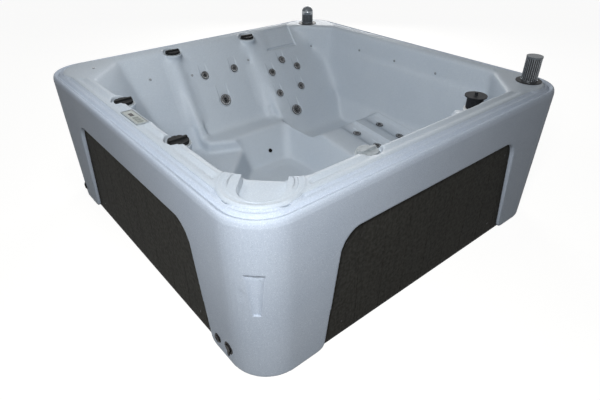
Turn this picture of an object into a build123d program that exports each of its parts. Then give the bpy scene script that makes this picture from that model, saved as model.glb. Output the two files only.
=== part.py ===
from build123d import *
import math
import os

# A square hot tub with a lounge and five seats, drawn in millimetres.
# The tub stands on z = 0 with its plan centred on the origin.
# The lounge lies along +X, the control panel is on the -X side.

# Driving dimensions of the whole tub
tub_side = 2200.0
rim_height = 835.0
deck_rise = 10.0
fit_gap = 0.3
overrun = 20.0

# Surround, the outer moulding with its four legs
skirt_wall = 8.0
skirt_draft = 11.0
skirt_corner_radius = 205.0
rim_round = 32.0
ledge_width = 70.0
groove_radius = 9.0
groove_depth = 3.0
groove_inset = 32.0
shelf_thickness = 8.0
shelf_outer_overlap = 25.0
shelf_reach = 20.0
opening_height = 625.0
opening_top_half = 635.0
opening_foot_half = 720.0
opening_corner_radius = 110.0
leg_foot_radius = 40.0
grip_top = 585.0
grip_bottom = 378.0
grip_top_radius = 52.0
grip_bottom_radius = 30.0
grip_top_depth = 22.0
grip_bottom_depth = 12.0

# Shell, the inner moulding that holds the water
shell_wall = 9.0
lip_thickness = 18.0
deck_width = 85.0
drum_offset = 230.0
drum_radius = 175.0
basin_cut = 235.0
basin_radius = 90.0
bowl_floor_half = 620.0
bowl_top_inset = 22.0
bowl_floor_cut = 170.0
recess_radius = 122.0
recess_depth = 42.0

# Seats, lounge and footwell
seat_pan_height = 290.0
seat_nose_rise = 10.0
seat_back_foot = 650.0
seat_nose_reach = 500.0
seat_half_width = 288.0
seat_offset = -14.0
seat_flank_draft = 26.0
seat_bend_radius = 55.0
corner_pan_height = 220.0
corner_seat_radius = 38.0
floor_height = 80.0
footwell_reach = 350.0
footwell_right = 220.0
footwell_corner_cut = 240.0
footwell_top_cut = 345.0
footwell_radius = 60.0
footwell_flare = 130.0
footwell_side_flare = 80.0
floor_panel_inset = 45.0
floor_panel_depth = 8.0
lounge_left = 300.0
lounge_hip_height = 178.0
lounge_back_foot = 440.0
lounge_hip_front = 290.0
lounge_knee_reach = 110.0
lounge_knee_height = 330.0
lounge_calf_end = -640.0
lounge_calf_height = 250.0
lounge_foot_wall = -800.0
lounge_bend_radius = 85.0
lounge_knee_radius = 90.0
lounge_step_height = 685.0
lounge_step_width = 12.0
lounge_wall_lean = 40.0
lounge_hip_lean = 70.0
calf_channel_radius = 105.0
calf_channel_depth = 30.0
calf_channel_pitch = 235.0
calf_channel_place = 570.0

# Where each corner seat's pan and top edge turn, as shares of the basin's half side
corner_pan_shares = (
    (-0.69, 0.56),
    (-0.69, 0.36),
    (-0.56, 0.36),
    (-0.46, 0.14),
    (-0.14, 0.14),
    (-0.14, 0.46),
    (-0.36, 0.56),
    (-0.36, 0.69),
    (-0.56, 0.69),
)
corner_top_shares = (
    (-1.0, 0.75),
    (-1.0, 0.36),
    (-0.56, 0.36),
    (-0.46, 0.14),
    (-0.14, 0.14),
    (-0.14, 0.46),
    (-0.36, 0.56),
    (-0.36, 1.0),
    (-0.75, 1.0),
)

# Diverter knobs on the ridges between seats
pad_depth = 30.0
pad_radius = 60.0
pad_root_radius = 14.0
pad_root_drop = 250.0
pad_recess_radius = 63.0
pad_inset = 170.0
knob_radius = 48.0
knob_height = 15.0
knob_bar_height = 9.0
knob_bar_width = 15.0
knob_scallop_radius = 9.0
knob_scallop_depth = 3.0
knob_scallop_count = 10
knob_stem_radius = 10.0
knob_stem_length = 30.0
valve_flange_radius = 56.0
valve_flange_thickness = 3.0
valve_radius = 33.0
valve_length = 100.0
valve_port_radius = 20.0
valve_port_length = 24.0
valve_port_wall = 3.0

# Jets
small_jet_radius = 27.0
small_barrel_radius = 19.0
small_bore_radius = 15.0
large_jet_radius = 40.0
large_barrel_radius = 30.0
large_bore_radius = 25.0
jet_barrel_length = 60.0
jet_barrel_end = 5.0
jet_plate = 1.5
jet_rim = 4.0
jet_rim_width = 4.0
insert_plate = 2.6
insert_nozzle = 3.6
insert_wall = 1.8
insert_stem = 22.0
insert_hole_count = 12
barb_radius = 5.5
barb_bore_radius = 3.0
barb_length = 14.0
side_barb_drop = 42.0

# Light points, suction covers and the port in the foot wall
light_head_radius = 8.5
light_head_height = 3.0
light_barrel_radius = 6.0
light_barrel_length = 22.0
cover_radius = 38.0
cover_height = 12.0
cover_skin = 4.0
cover_barrel_radius = 22.0
cover_barrel_length = 45.0
cover_pitch = 90.0
cover_slot = 3.6
cover_slot_pitch = 8.0
cover_slot_count = 7
port_radius = 14.0
port_bore_radius = 6.5
port_barrel_radius = 10.0
port_rise = 4.0
port_barrel_length = 40.0
port_place = 98.0

# Pop-up speakers
speaker_radius = 44.0
speaker_core_radius = 39.0
speaker_wall = 3.0
speaker_height = 141.0
dome_speaker_height = 129.0
dome_height = 58.0
speaker_cap = 9.0
speaker_root = 12.0
speaker_foot = 110.0
speaker_bar_radius = 1.6
speaker_bar_count = 24
sleeve_wall = 5.0
sleeve_length = 265.0
sleeve_floor = 4.0
sleeve_drain_radius = 12.0
bezel_radius = 70.0
bezel_height = 4.0
right_speaker_inset = 160.0
far_speaker_inset_x = 230.0
far_speaker_inset_y = 190.0

# Skimmer and filter by the foot wall of the lounge
niche_place = 550.0
niche_inset = 85.0
niche_radius = 70.0
niche_floor = 420.0
filter_radius = 50.0
filter_cap_radius = 53.0
filter_cap_height = 12.0
filter_height = 340.0
filter_bore_radius = 25.0
filter_pleat_radius = 3.2
filter_pleat_count = 36
float_radius = 44.0
float_height = 66.0
float_brim_radius = 59.0
float_brim_height = 6.0
float_knob_radius = 9.0
float_knob_height = 17.0
float_stem_length = 60.0
skimmer_place = 392.0
skimmer_width = 156.0
skimmer_tall = 104.0
skimmer_border = 14.0
skimmer_thickness = 9.0
skimmer_depth = 72.0
skimmer_wall = 3.0
skimmer_port_radius = 20.0
skimmer_port_length = 30.0
weir_thickness = 4.0
weir_pin_radius = 3.0
weir_setback = 12.0
weir_end_gap = 1.0
weir_length = 68.0

# Control panel on the deck
panel_width = 60.0
panel_length = 190.0
panel_inset = 113.0
panel_rise = 6.0
panel_border = 5.0
panel_floor = 1.0
panel_body_width = 38.0
panel_body_length = 150.0
panel_body_depth = 22.0
panel_body_wall = 3.0
faceplate_thickness = 3.2
display_width = 34.0
display_length = 62.0
display_rise = 0.8
display_shift = 42.0
button_width = 26.0
button_length = 17.0
button_rise = 1.2
button_travel = 1.2
button_pitch = 27.0
button_first = 14.0
button_count = 3

# Cabinet: panels, base pan, frame, insulation and props
panel_setback = 30.0
board_thickness = 12.0
board_pitch = 167.0
board_shift = -11.0
board_groove_width = 4.0
board_groove_depth = 3.0
board_groove_count = 9
board_overlap = 22.0
flange_wall = 8.0
pan_thickness = 12.0
pan_corner_radius = 170.0
rail_size = 40.0
rail_half_length = 850.0
post_place = 600.0
sheet_thickness = 20.0
sheet_top = 600.0
screw_head_radius = 5.0
screw_head_height = 2.0
screw_shank_radius = 2.0
screw_length = 34.0
screw_low = 80.0
screw_high = 540.0
prop_size = 70.0
corner_prop_share = 0.62
floor_prop_shares = ((-0.45, -0.62), (0.12, -0.62), (-0.45, 0.62), (0.12, 0.62))
lounge_prop_share = 0.32

# Fittings low on the legs
fitting_sink = 1.5
drain_inset = 226.0
drain_height = 88.0
drain_cup_radius = 26.0
drain_cup_depth = 34.0
drain_cup_wall = 3.0
drain_flange_radius = 31.0
drain_flange = 3.0
drain_cap_radius = 17.0
drain_cap_depth = 20.0
drain_lever_width = 14.0
drain_lever_thickness = 4.0
drain_lever_length = 46.0
drain_stem_radius = 8.0
drain_pipe_radius = 14.0
drain_pipe_length = 60.0
gland_inset = 317.0
gland_height = 72.0
gland_radius = 24.0
gland_flange = 4.0
gland_dome = 4.5
gland_dome_radius = 17.0
gland_barrel_radius = 13.0
gland_bore_radius = 8.0
gland_barrel_length = 45.0
vent_inset = 184.0
vent_slot = 3.0
vent_slot_pitch = 6.5
vent_slot_count = 3
drain_lever_turn = 90.0

# Equipment under the left seat
pump_inset = 235.0
pump_axis_height = 135.0
pump_front = 185.0
volute_radius = 90.0
volute_length = 80.0
volute_wall = 5.0
motor_radius = 70.0
motor_length = 230.0
motor_wall = 4.0
motor_fin_count = 18
motor_fin_height = 5.0
motor_fin_width = 4.0
pump_foot_width = 120.0
bearing_length = 20.0
shaft_radius = 8.0
shaft_gap = 0.05
armature_radius = 48.0
armature_length = 120.0
impeller_radius = 70.0
impeller_hub_radius = 18.0
impeller_disc = 4.0
impeller_setback = 14.0
vane_height = 22.0
vane_thickness = 4.0
vane_count = 6
pipe_radius = 26.0
pipe_wall = 3.0
suction_turn = 45.0
suction_run = 70.0
suction_end = 75.0
discharge_offset = 60.0
discharge_turn = 50.0
discharge_rise = 110.0
heater_radius = 34.0
heater_wall = 3.0
heater_length = 300.0
heater_height = 305.0
heater_start = 215.0
heater_element_radius = 4.0
heater_element_pitch = 28.0
saddle_width = 30.0
saddle_depth = 60.0
saddle_inset = 110.0
pack_width = 130.0
pack_length = 280.0
pack_start = 301.0
pack_top = 245.0
pack_wall = 3.0
pack_entry_radius = 11.0
pack_entry_pitch = 60.0
manifold_turn = 120.0
manifold_inset = 170.0
manifold_end = 250.0
stub_radius = 8.0
stub_bore_radius = 5.0
stub_length = 18.0
stub_pitch = 130.0
stub_count = 6

# Places as shares of a wall's width and of the way up it
diverter_place_shares = ((-0.34, 1.0), (0.315, 1.0), (-1.0, 0.3), (-1.0, -0.35), (-0.385, -1.0))
rear_jet_shares = ((-0.43, 0.65), (0.42, 0.65))
rear_large_jet_share = (-0.1, 0.33)
lounge_jet_shares = ((0.33, 0.7), (0.13, 0.61), (0.51, 0.61), (0.12, 0.41), (0.45, 0.42))
lounge_large_jet_share = (0.25, 0.22)
calf_jet_shares = (0.853, 0.593)
hidden_jet_up_share = 0.45
rear_light_shares = ((-0.76, 0.68), (0.9, 0.7))
wall_light_shares = (0.41, 0.043, -0.334)
wall_light_up_share = 0.2
corner_light_share = 0.56
corner_light_up_share = 0.74
lounge_light_shares = (0.834, 0.76)
port_up_share = 0.35
skimmer_up_share = 0.87
insert_nozzle_share = 0.42
insert_ring_share = 0.69
insert_hole_share = 0.1

# Derived sizes of the tub
tub_half = tub_side / 2
deck_height = rim_height + deck_rise
deck_half = tub_half - ledge_width
basin_half = deck_half - deck_width
drum_place = tub_half - drum_offset
lip_underside = deck_height - lip_thickness
shelf_underside = lip_underside - shelf_thickness
corner_signs = ((-1, -1), (1, -1), (1, 1), (-1, 1))
bowl_floor = seat_pan_height + seat_nose_rise
pad_height = deck_height - pad_depth
niche_centre = (niche_place, -(basin_half - niche_inset))
right_speaker = (tub_half - right_speaker_inset, -(tub_half - right_speaker_inset))
far_speaker = (tub_half - far_speaker_inset_x, tub_half - far_speaker_inset_y)
panel_centre = (-(tub_half - panel_inset), 0.0)
board_face = tub_half - panel_setback
frame_outer = board_face - board_thickness
frame_inner = frame_outer - rail_size
pump_place = -(tub_half - pump_inset)
service_place = pump_place - discharge_offset
filter_top = niche_floor + filter_height


def square_at(half_side, radius, z):
    return Plane.XY.offset(z) * RectangleRounded(2 * half_side, 2 * half_side, radius)


def box_between(low, high):
    size = [b - a for a, b in zip(low, high)]
    middle = [(a + b) / 2 for a, b in zip(low, high)]
    return Pos(*middle) * Box(*size)


def centred_block(size, low, high):
    return box_between((-size[0] / 2, -size[1] / 2, low), (size[0] / 2, size[1] / 2, high))


def rod(start, end, radius):
    along = Vector(*end) - Vector(*start)
    return extrude(Plane(origin=start, z_dir=along) * Circle(radius), along.length)


def outline(points, radii=0.0):
    face = make_face(Polyline(*points, close=True))
    if radii:
        face = fillet(face.vertices(), radii)
    return face


def tube(outer, inner, low, high):
    ring = Circle(outer) - Circle(inner)
    return extrude(Plane.XY.offset(low) * ring, high - low)


def disc(radius, low, high):
    return extrude(Plane.XY.offset(low) * Circle(radius), high - low)


def joined(pieces):
    whole = pieces[0]
    for piece in pieces[1:]:
        whole = whole + piece
    return whole


def ring_of(count, radius, piece):
    return [Rot(0, 0, 360 * turn / count) * Pos(radius, 0, 0) * piece for turn in range(count)]


def four_sides(piece):
    return [Rot(0, 0, 90 * turn) * piece for turn in range(4)]


def bent_path(points, radius):
    return FilletPolyline(*points, radius=radius)


def along_path(path, radius):
    start = Plane(origin=path @ 0, z_dir=path % 0)
    return sweep(start * Circle(radius), path=path)


def slanted_block(low_face, low, high_face, high):
    return loft([Plane.XY.offset(low) * low_face, Plane.XY.offset(high) * high_face], ruled=True)


def write(shape, name):
    solids = shape.solids()
    export_step(Compound(children=list(solids)), "parts/" + name + ".step")
    print(name, len(solids))


# Surround


def skirt_half(z):
    return tub_half - skirt_draft * (1 - z / rim_height)


def skirt_block(inset, low, high):
    """The drafted outer form, tapering towards the floor."""
    face = square_at(skirt_half(high) - inset, skirt_corner_radius - inset, high)
    taper = math.degrees(math.atan(skirt_draft / rim_height))
    block = extrude(face, high - low, dir=(0, 0, -1), taper=taper)
    return fillet(block.faces().sort_by(Axis.Z)[-1].edges(), rim_round - inset)


def deck_outline(grow):
    side = 2 * (deck_half + grow)
    shape = RectangleRounded(side, side, drum_radius + grow)
    for sx, sy in corner_signs:
        shape += Pos(sx * drum_place, sy * drum_place) * Circle(drum_radius + grow)
    return shape


def grip(grow):
    """The tapered finger grip moulded into the outer corner, in the -X -Y quadrant."""
    reach = (tub_half - skirt_corner_radius) * math.sqrt(2) + skirt_corner_radius
    top_place = reach + grip_top_radius - grip_top_depth
    bottom_place = reach + grip_bottom_radius - grip_bottom_depth
    top_face = Pos(-top_place / math.sqrt(2), -top_place / math.sqrt(2)) * Circle(grip_top_radius + grow)
    low_place = Pos(-bottom_place / math.sqrt(2), -bottom_place / math.sqrt(2))
    low_face = low_place * Circle(grip_bottom_radius + grow)
    return slanted_block(low_face, grip_bottom - grow, top_face, grip_top + grow)


def grips(grow):
    return four_sides(grip(grow))


def leg_opening():
    """The open area between two legs, as it shows from -Y."""
    below = -overrun - leg_foot_radius
    wide = opening_foot_half + 2 * leg_foot_radius
    points = (
        (-wide, below),
        (wide, below),
        (wide, 0.0),
        (opening_foot_half, 0.0),
        (opening_top_half, opening_height),
        (-opening_top_half, opening_height),
        (-opening_foot_half, 0.0),
        (-wide, 0.0),
    )
    face = outline(points)
    top_corners = face.vertices().filter_by(lambda v: abs(v.Y - opening_height) < fit_gap)
    face = fillet(top_corners, opening_corner_radius)
    feet = face.vertices().filter_by(lambda v: abs(v.Y) < fit_gap and abs(v.X) < wide - fit_gap)
    return fillet(feet, leg_foot_radius)


def opening_block(grow):
    face = leg_opening()
    if grow:
        face = offset(face, amount=grow)
    return extrude(Plane.XZ * face, tub_side, both=True)


def rim_groove():
    path_half = tub_half - groove_inset
    path = square_at(path_half, skirt_corner_radius - groove_inset, rim_height).wires()[0]
    return Pos(0, 0, groove_radius - groove_depth) * along_path(path, groove_radius)


def surround():
    skin = skirt_block(0, 0, rim_height)
    hollow = skirt_block(skirt_wall, -overrun, rim_height - skirt_wall)
    for piece in grips(skirt_wall):
        hollow -= piece
    body = skin - hollow
    shelf = extrude(Plane.XY.offset(shelf_underside) * deck_outline(shelf_outer_overlap), shelf_thickness)
    shelf -= extrude(Plane.XY.offset(shelf_underside) * deck_outline(-shelf_reach), shelf_thickness)
    body += shelf
    opening = opening_block(0)
    flange = opening_block(flange_wall) & skin
    flange -= box_between((-tub_half, -board_face, -overrun), (tub_half, board_face, deck_height))
    flange -= opening
    body += [flange, Rot(0, 0, 90) * flange]
    for piece in grips(0):
        body -= piece
    lip_room = extrude(Plane.XY.offset(lip_underside) * deck_outline(fit_gap), lip_thickness + overrun)
    for piece in (lip_room, rim_groove(), opening, Rot(0, 0, 90) * opening):
        body -= piece
    for place, flange_radius, barrel_radius in leg_fittings():
        body -= place * disc(flange_radius + fit_gap, 0, overrun)
        body -= place * disc(barrel_radius + fit_gap, -2 * skirt_wall, overrun)
    return body


# Shell


def basin_outline(half_side, cut, radius):
    near = half_side - cut
    points = (
        (half_side, -near),
        (half_side, near),
        (near, half_side),
        (-near, half_side),
        (-half_side, near),
        (-half_side, -near),
        (-near, -half_side),
        (near, -half_side),
    )
    return outline(points, radius)


def wall_seat(grow):
    """One seat in the middle of a wall, facing the centre from +Y."""
    top = deck_height + overrun
    lean = (basin_half - seat_back_foot) / (deck_height - seat_pan_height)
    points = (
        (0.0, bowl_floor),
        (seat_nose_reach, bowl_floor),
        (seat_back_foot, seat_pan_height),
        (basin_half + overrun * lean, top),
        (0.0, top),
    )
    face = outline(points)
    bend = face.vertices().filter_by(lambda v: abs(v.X - seat_back_foot) < fit_gap)
    face = fillet(bend, seat_bend_radius)
    if grow:
        face = offset(face, amount=grow)
    reach = seat_half_width + grow
    strip = extrude(Plane.YZ * face, reach + overrun, both=True)
    near = -2 * grow - overrun
    far = basin_half + 2 * overrun + grow
    middle = (near + far) / 2
    low_face = Pos(0, middle) * Rectangle(2 * (reach - seat_flank_draft), far - near)
    top_face = Pos(0, middle) * Rectangle(2 * reach, far - near)
    return strip & slanted_block(low_face, seat_pan_height - overrun, top_face, top + grow)


def corner_seat(grow):
    """The deep seat in the corner between -X and +Y."""
    low_points = [(basin_half * x, basin_half * y) for x, y in corner_pan_shares]
    top_points = [(basin_half * x, basin_half * y) for x, y in corner_top_shares]
    low_face = outline(low_points, corner_seat_radius)
    top_face = outline(top_points, corner_seat_radius)
    if grow:
        low_face = offset(low_face, amount=grow)
        top_face = offset(top_face, amount=grow)
    return slanted_block(low_face, corner_pan_height - grow, top_face, deck_height + overrun)


def lounge_side_points():
    top = deck_height + overrun
    back_lean = (basin_half - lounge_back_foot) / (deck_height - lounge_hip_height)
    foot_lean = (basin_half + lounge_foot_wall) / (deck_height - lounge_calf_height)
    return (
        (lounge_hip_front, lounge_hip_height),
        (lounge_back_foot, lounge_hip_height),
        (basin_half + overrun * back_lean, top),
        (-basin_half - overrun * foot_lean, top),
        (lounge_foot_wall, lounge_calf_height),
        (lounge_calf_end, lounge_calf_height),
        (lounge_knee_reach, lounge_knee_height),
    )


def lounge(grow):
    """The lying place along the +X wall, its head at +Y."""
    points = lounge_side_points()
    face = outline(points)
    for place, radius in (
        (points[0], lounge_bend_radius),
        (points[1], lounge_bend_radius),
        (points[4], lounge_bend_radius),
        (points[6], lounge_knee_radius),
    ):
        corner = face.vertices().sort_by(lambda v: abs(v.X - place[0]) + abs(v.Y - place[1]))[0]
        face = fillet(corner, radius)
    if grow:
        face = offset(face, amount=grow)
    long_view = extrude(Plane.YZ * face, basin_half + 2 * overrun)
    top = deck_height + overrun + grow
    low = lounge_hip_height - grow
    step = basin_half - lounge_step_width
    cross = (
        (lounge_left - grow, low),
        (basin_half - lounge_wall_lean - lounge_hip_lean + grow, low),
        (basin_half - lounge_wall_lean + grow, lounge_knee_height),
        (step + grow, lounge_step_height - grow),
        (basin_half + grow, lounge_step_height + lounge_step_width - grow),
        (basin_half + grow, top),
        (lounge_left - grow, top),
    )
    cross_view = extrude(Plane.XZ * outline(cross), tub_side, both=True)
    pocket = long_view & cross_view
    rise = calf_channel_radius - calf_channel_depth
    fall_share = (lounge_knee_height - lounge_calf_height) / (lounge_knee_reach - lounge_calf_end)
    top_of_run = lounge_knee_height + rise + fall_share * (lounge_hip_front - lounge_knee_reach)
    for place in calf_channel_places():
        start = (place, lounge_hip_front, top_of_run)
        end = (place, lounge_calf_end, lounge_calf_height + rise)
        pocket += rod(start, end, calf_channel_radius + grow)
        pocket += Pos(*end) * Sphere(calf_channel_radius + grow)
    return pocket


def calf_channel_places():
    return (calf_channel_place, calf_channel_place + calf_channel_pitch)


def footwell_outline(out, side_out, corner_cut):
    reach = footwell_reach + out
    right = footwell_right + side_out
    points = (
        (right, -reach),
        (right, reach),
        (corner_cut - reach, reach),
        (-reach, reach - corner_cut),
        (-reach, corner_cut - reach),
        (corner_cut - reach, -reach),
    )
    return outline(points, footwell_radius)


def footwell(grow):
    scale = (bowl_floor + overrun - floor_height) / (bowl_floor - floor_height)
    low_face = footwell_outline(0, 0, footwell_corner_cut)
    top_cut = footwell_corner_cut + (footwell_top_cut - footwell_corner_cut) * scale
    top_face = footwell_outline(footwell_flare * scale, footwell_side_flare * scale, top_cut)
    panel = footwell_outline(-floor_panel_inset, -floor_panel_inset, footwell_corner_cut)
    if grow:
        low_face = offset(low_face, amount=grow)
        top_face = offset(top_face, amount=grow)
        panel = offset(panel, amount=grow)
    well = slanted_block(low_face, floor_height - grow, top_face, bowl_floor + overrun)
    panel_floor = floor_height - floor_panel_depth - grow
    return well + extrude(Plane.XY.offset(panel_floor) * panel, floor_panel_depth + overrun)


def bowl(grow):
    """The open middle above the seats, whose sides are the ridges between them."""
    low_face = basin_outline(bowl_floor_half + grow, bowl_floor_cut, basin_radius)
    top_face = basin_outline(basin_half - bowl_top_inset + grow, basin_cut, basin_radius)
    block = slanted_block(low_face, bowl_floor - grow, top_face, deck_height + overrun)
    return block - box_between((lounge_left + grow, -tub_half, 0), (tub_half, tub_half, tub_side))


def diverter_places():
    reach = tub_half - pad_inset
    return [(reach * x, reach * y) for x, y in diverter_place_shares]


def cavity(grow):
    """The room for the water, or with grow the outer skin round it."""
    top = deck_height + overrun
    seat = wall_seat(grow)
    corner = corner_seat(grow)
    space = joined(
        [
            bowl(grow),
            Pos(seat_offset, 0, 0) * seat,
            Pos(0, seat_offset, 0) * Rot(0, 0, 90) * seat,
            Pos(seat_offset, 0, 0) * Rot(0, 0, 180) * seat,
            corner,
            mirror(corner, about=Plane.XZ),
            lounge(grow),
            footwell(grow),
        ]
    )
    space &= extrude(basin_outline(basin_half + grow, basin_cut, basin_radius), top)
    root = pad_height - pad_root_drop
    for x, y in diverter_places():
        pad = Pos(x, y, 0)
        low_face = Circle(pad_root_radius - grow)
        space -= pad * slanted_block(low_face, root - grow, Circle(pad_radius - grow), pad_height - grow)
        space += pad * disc(pad_recess_radius + grow, pad_height - grow, top)
    stand = Pos(*niche_centre, 0)
    space -= stand * disc(niche_radius + shell_wall - grow, 0, niche_floor - grow)
    space += stand * disc(niche_radius + grow, niche_floor - grow, top)
    recess_floor = deck_height - recess_depth - grow
    return space + Pos(-drum_place, -drum_place, 0) * disc(recess_radius + grow, recess_floor, top)


def hole_tools(place, face_radius, barrel_radius):
    """A flat seat for a fitting's face and a hole for its barrel."""
    through = disc(barrel_radius + fit_gap, -2 * shell_wall, overrun)
    return [place * through, place * disc(face_radius + fit_gap, 0, overrun)]


def shell():
    deck = extrude(Plane.XY.offset(lip_underside) * deck_outline(0), lip_thickness)
    outer = cavity(shell_wall)
    outer -= extrude(square_at(tub_half, skirt_corner_radius, deck_height), 2 * overrun + shell_wall)
    body = deck + outer - cavity(0)
    tools = []
    for _, place, large in jets():
        face_radius, barrel_radius, _ = jet_radii(large)
        tools += hole_tools(place, face_radius, barrel_radius)
    for place in light_places():
        tools += hole_tools(place, light_head_radius, light_barrel_radius)
    for place in cover_places():
        tools += hole_tools(place, cover_radius, cover_barrel_radius)
    tools += hole_tools(foot_port_place(), port_radius, port_barrel_radius)
    for x, y in diverter_places():
        tools.append(Pos(x, y, pad_height) * disc(valve_radius + fit_gap, -2 * shell_wall, overrun))
    for centre in (right_speaker, far_speaker):
        hole = disc(speaker_sleeve_radius() + fit_gap, -2 * lip_thickness, overrun)
        tools.append(Pos(*centre, deck_height) * hole)
    throat = centred_block(skimmer_throat(2 * skimmer_wall + 2 * fit_gap), -overrun, overrun)
    tools.append(skimmer_plane() * throat)
    panel_size = (panel_body_width + 2 * fit_gap, panel_body_length + 2 * fit_gap)
    tools.append(Pos(*panel_centre, deck_height) * centred_block(panel_size, -2 * lip_thickness, overrun))
    for tool in tools:
        body -= tool
    return body


# Places on the walls


def wall_spot(turn, low, high, across, up_share):
    """A plane on a wall that leans from low to high, each a reach and a height, facing the water."""
    angle = math.radians(90 * turn)
    outward = Vector(-math.sin(angle), math.cos(angle), 0)
    sideways = Vector(math.cos(angle), math.sin(angle), 0)
    foot = outward * low[0] + Vector(0, 0, low[1])
    rise = outward * high[0] + Vector(0, 0, high[1]) - foot
    origin = foot + rise * up_share + sideways * across
    return Plane(origin=origin, x_dir=sideways, z_dir=sideways.cross(rise))


def seat_back_spot(turn, across, up_share):
    shift = -seat_offset if turn == 2 else seat_offset
    low = (seat_back_foot, seat_pan_height)
    return wall_spot(turn, low, (basin_half, deck_height), shift + across, up_share)


def seat_front_spot(turn, across, up_share):
    shift = -seat_offset if turn == 2 else seat_offset
    low = (footwell_reach, floor_height)
    return wall_spot(turn, low, (footwell_reach + footwell_flare, bowl_floor), shift + across, up_share)


def lounge_back_spot(across_share, up_share):
    across = lounge_left + (basin_half - lounge_left) * across_share
    low = (lounge_back_foot, lounge_hip_height)
    return wall_spot(0, low, (basin_half, deck_height), across, up_share)


def calf_spot(across, along_share):
    low = (lounge_calf_end, lounge_calf_height)
    high = (lounge_knee_reach, lounge_knee_height)
    floor = wall_spot(0, low, high, across, along_share)
    return floor.offset(-calf_channel_depth)


def corner_back_spot(across, up_share):
    """On the slanted face behind the seat in the -X -Y corner."""
    low_reach = basin_half * (abs(corner_pan_shares[0][0]) + corner_pan_shares[0][1]) / math.sqrt(2)
    top_reach = basin_half * (abs(corner_top_shares[0][0]) + corner_top_shares[0][1]) / math.sqrt(2)
    high = (top_reach, deck_height + overrun)
    return wall_spot(1.5, (low_reach, corner_pan_height), high, across, up_share)


def jets():
    """Every jet as a name, the plane it sits on and whether it is a large one."""
    found = []
    for count, (across, up) in enumerate(rear_jet_shares, 1):
        found.append((f"jet_rear_seat_{count}", seat_back_spot(0, across * seat_half_width, up), False))
    across, up = rear_large_jet_share
    found.append(("jet_rear_seat_large", seat_back_spot(0, across * seat_half_width, up), True))
    for count, (across, up) in enumerate(lounge_jet_shares, 1):
        found.append((f"jet_lounge_back_{count}", lounge_back_spot(across, up), False))
    found.append(("jet_lounge_back_large", lounge_back_spot(*lounge_large_jet_share), True))
    count = 0
    for across in calf_channel_places():
        for along in calf_jet_shares:
            count += 1
            found.append((f"jet_calf_{count}", calf_spot(across, along), False))
    found.append(("jet_left_seat", seat_back_spot(1, 0.0, hidden_jet_up_share), True))
    found.append(("jet_front_seat", seat_back_spot(2, 0.0, hidden_jet_up_share), True))
    found.append(("jet_near_corner_seat", corner_back_spot(0.0, hidden_jet_up_share), True))
    return found


def jet_radii(large):
    if large:
        return large_jet_radius, large_barrel_radius, large_bore_radius
    return small_jet_radius, small_barrel_radius, small_bore_radius


def light_places():
    places = [seat_back_spot(0, across * seat_half_width, up) for across, up in rear_light_shares]
    places.append(lounge_back_spot(*lounge_light_shares))
    low = (basin_half, lounge_step_height + lounge_step_width)
    for share in wall_light_shares:
        places.append(wall_spot(3, low, (basin_half, deck_height), -share * basin_half, wall_light_up_share))
    pan_reach = basin_half * corner_pan_shares[-2][1]
    low = (pan_reach, corner_pan_height)
    across = -corner_light_share * basin_half
    places.append(wall_spot(0, low, (basin_half, deck_height + overrun), across, corner_light_up_share))
    places.append(Plane(origin=(-drum_place, drum_place, deck_height)))
    return places


def cover_places():
    """Both covers, at the height that brings the pipe behind them level with the pump."""
    rise = bowl_floor - floor_height
    fall = (cover_barrel_length + pipe_radius) * footwell_flare / math.hypot(footwell_flare, rise)
    up_share = (pump_axis_height + fall - floor_height) / rise
    return [seat_front_spot(1, side * cover_pitch / 2, up_share) for side in (-1, 1)]


def foot_port_place():
    return seat_front_spot(0, port_place, port_up_share)


def skimmer_plane():
    low = (-lounge_foot_wall, lounge_calf_height)
    return wall_spot(2, low, (basin_half, deck_height), -skimmer_place, skimmer_up_share)


def skimmer_throat(grow):
    width = skimmer_width - 2 * skimmer_border
    return (width + grow, skimmer_tall - 2 * skimmer_border + grow)


def speaker_sleeve_radius():
    return speaker_radius + fit_gap + sleeve_wall


def leg_place(y, z):
    """A plane just under the skirt's -X face, facing out, also on its rounded corners."""
    flat = tub_half - skirt_corner_radius
    radius = skirt_half(z) - flat
    middle = max(-flat, min(flat, y))
    turn = math.asin((y - middle) / radius)
    reach = radius - fitting_sink
    facing = Vector(-math.cos(turn), math.sin(turn), 0)
    origin = Vector(-flat, middle, z) + facing * reach
    return Plane(origin=origin, x_dir=(math.sin(turn), math.cos(turn), 0), z_dir=facing)


def drain_place():
    return leg_place(-(tub_half - drain_inset), drain_height)


def gland_place():
    return leg_place(-(tub_half - gland_inset), gland_height)


def vent_place():
    return leg_place(tub_half - vent_inset, gland_height)


def leg_fittings():
    """Each fitting's plane, flange radius and barrel radius."""
    return (
        (drain_place(), drain_flange_radius, drain_cup_radius),
        (gland_place(), gland_radius, gland_barrel_radius),
        (vent_place(), gland_radius, gland_barrel_radius),
    )


# Jets


def jet_housing(large):
    face_radius, barrel_radius, bore_radius = jet_radii(large)
    housing = disc(face_radius, 0, jet_rim) + disc(barrel_radius, -jet_barrel_length, 0)
    housing += disc(barb_radius, -jet_barrel_length - barb_length, -jet_barrel_length)
    side = (0, 0, -side_barb_drop)
    side_end = (barrel_radius + barb_length, 0, -side_barb_drop)
    housing += rod(side, side_end, barb_radius)
    housing -= disc(face_radius - jet_rim_width, jet_plate, jet_rim)
    housing -= disc(bore_radius, jet_barrel_end - jet_barrel_length, jet_rim)
    housing -= disc(barb_bore_radius, -jet_barrel_length - barb_length, 0)
    return housing - rod(side, side_end, barb_bore_radius)


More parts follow.
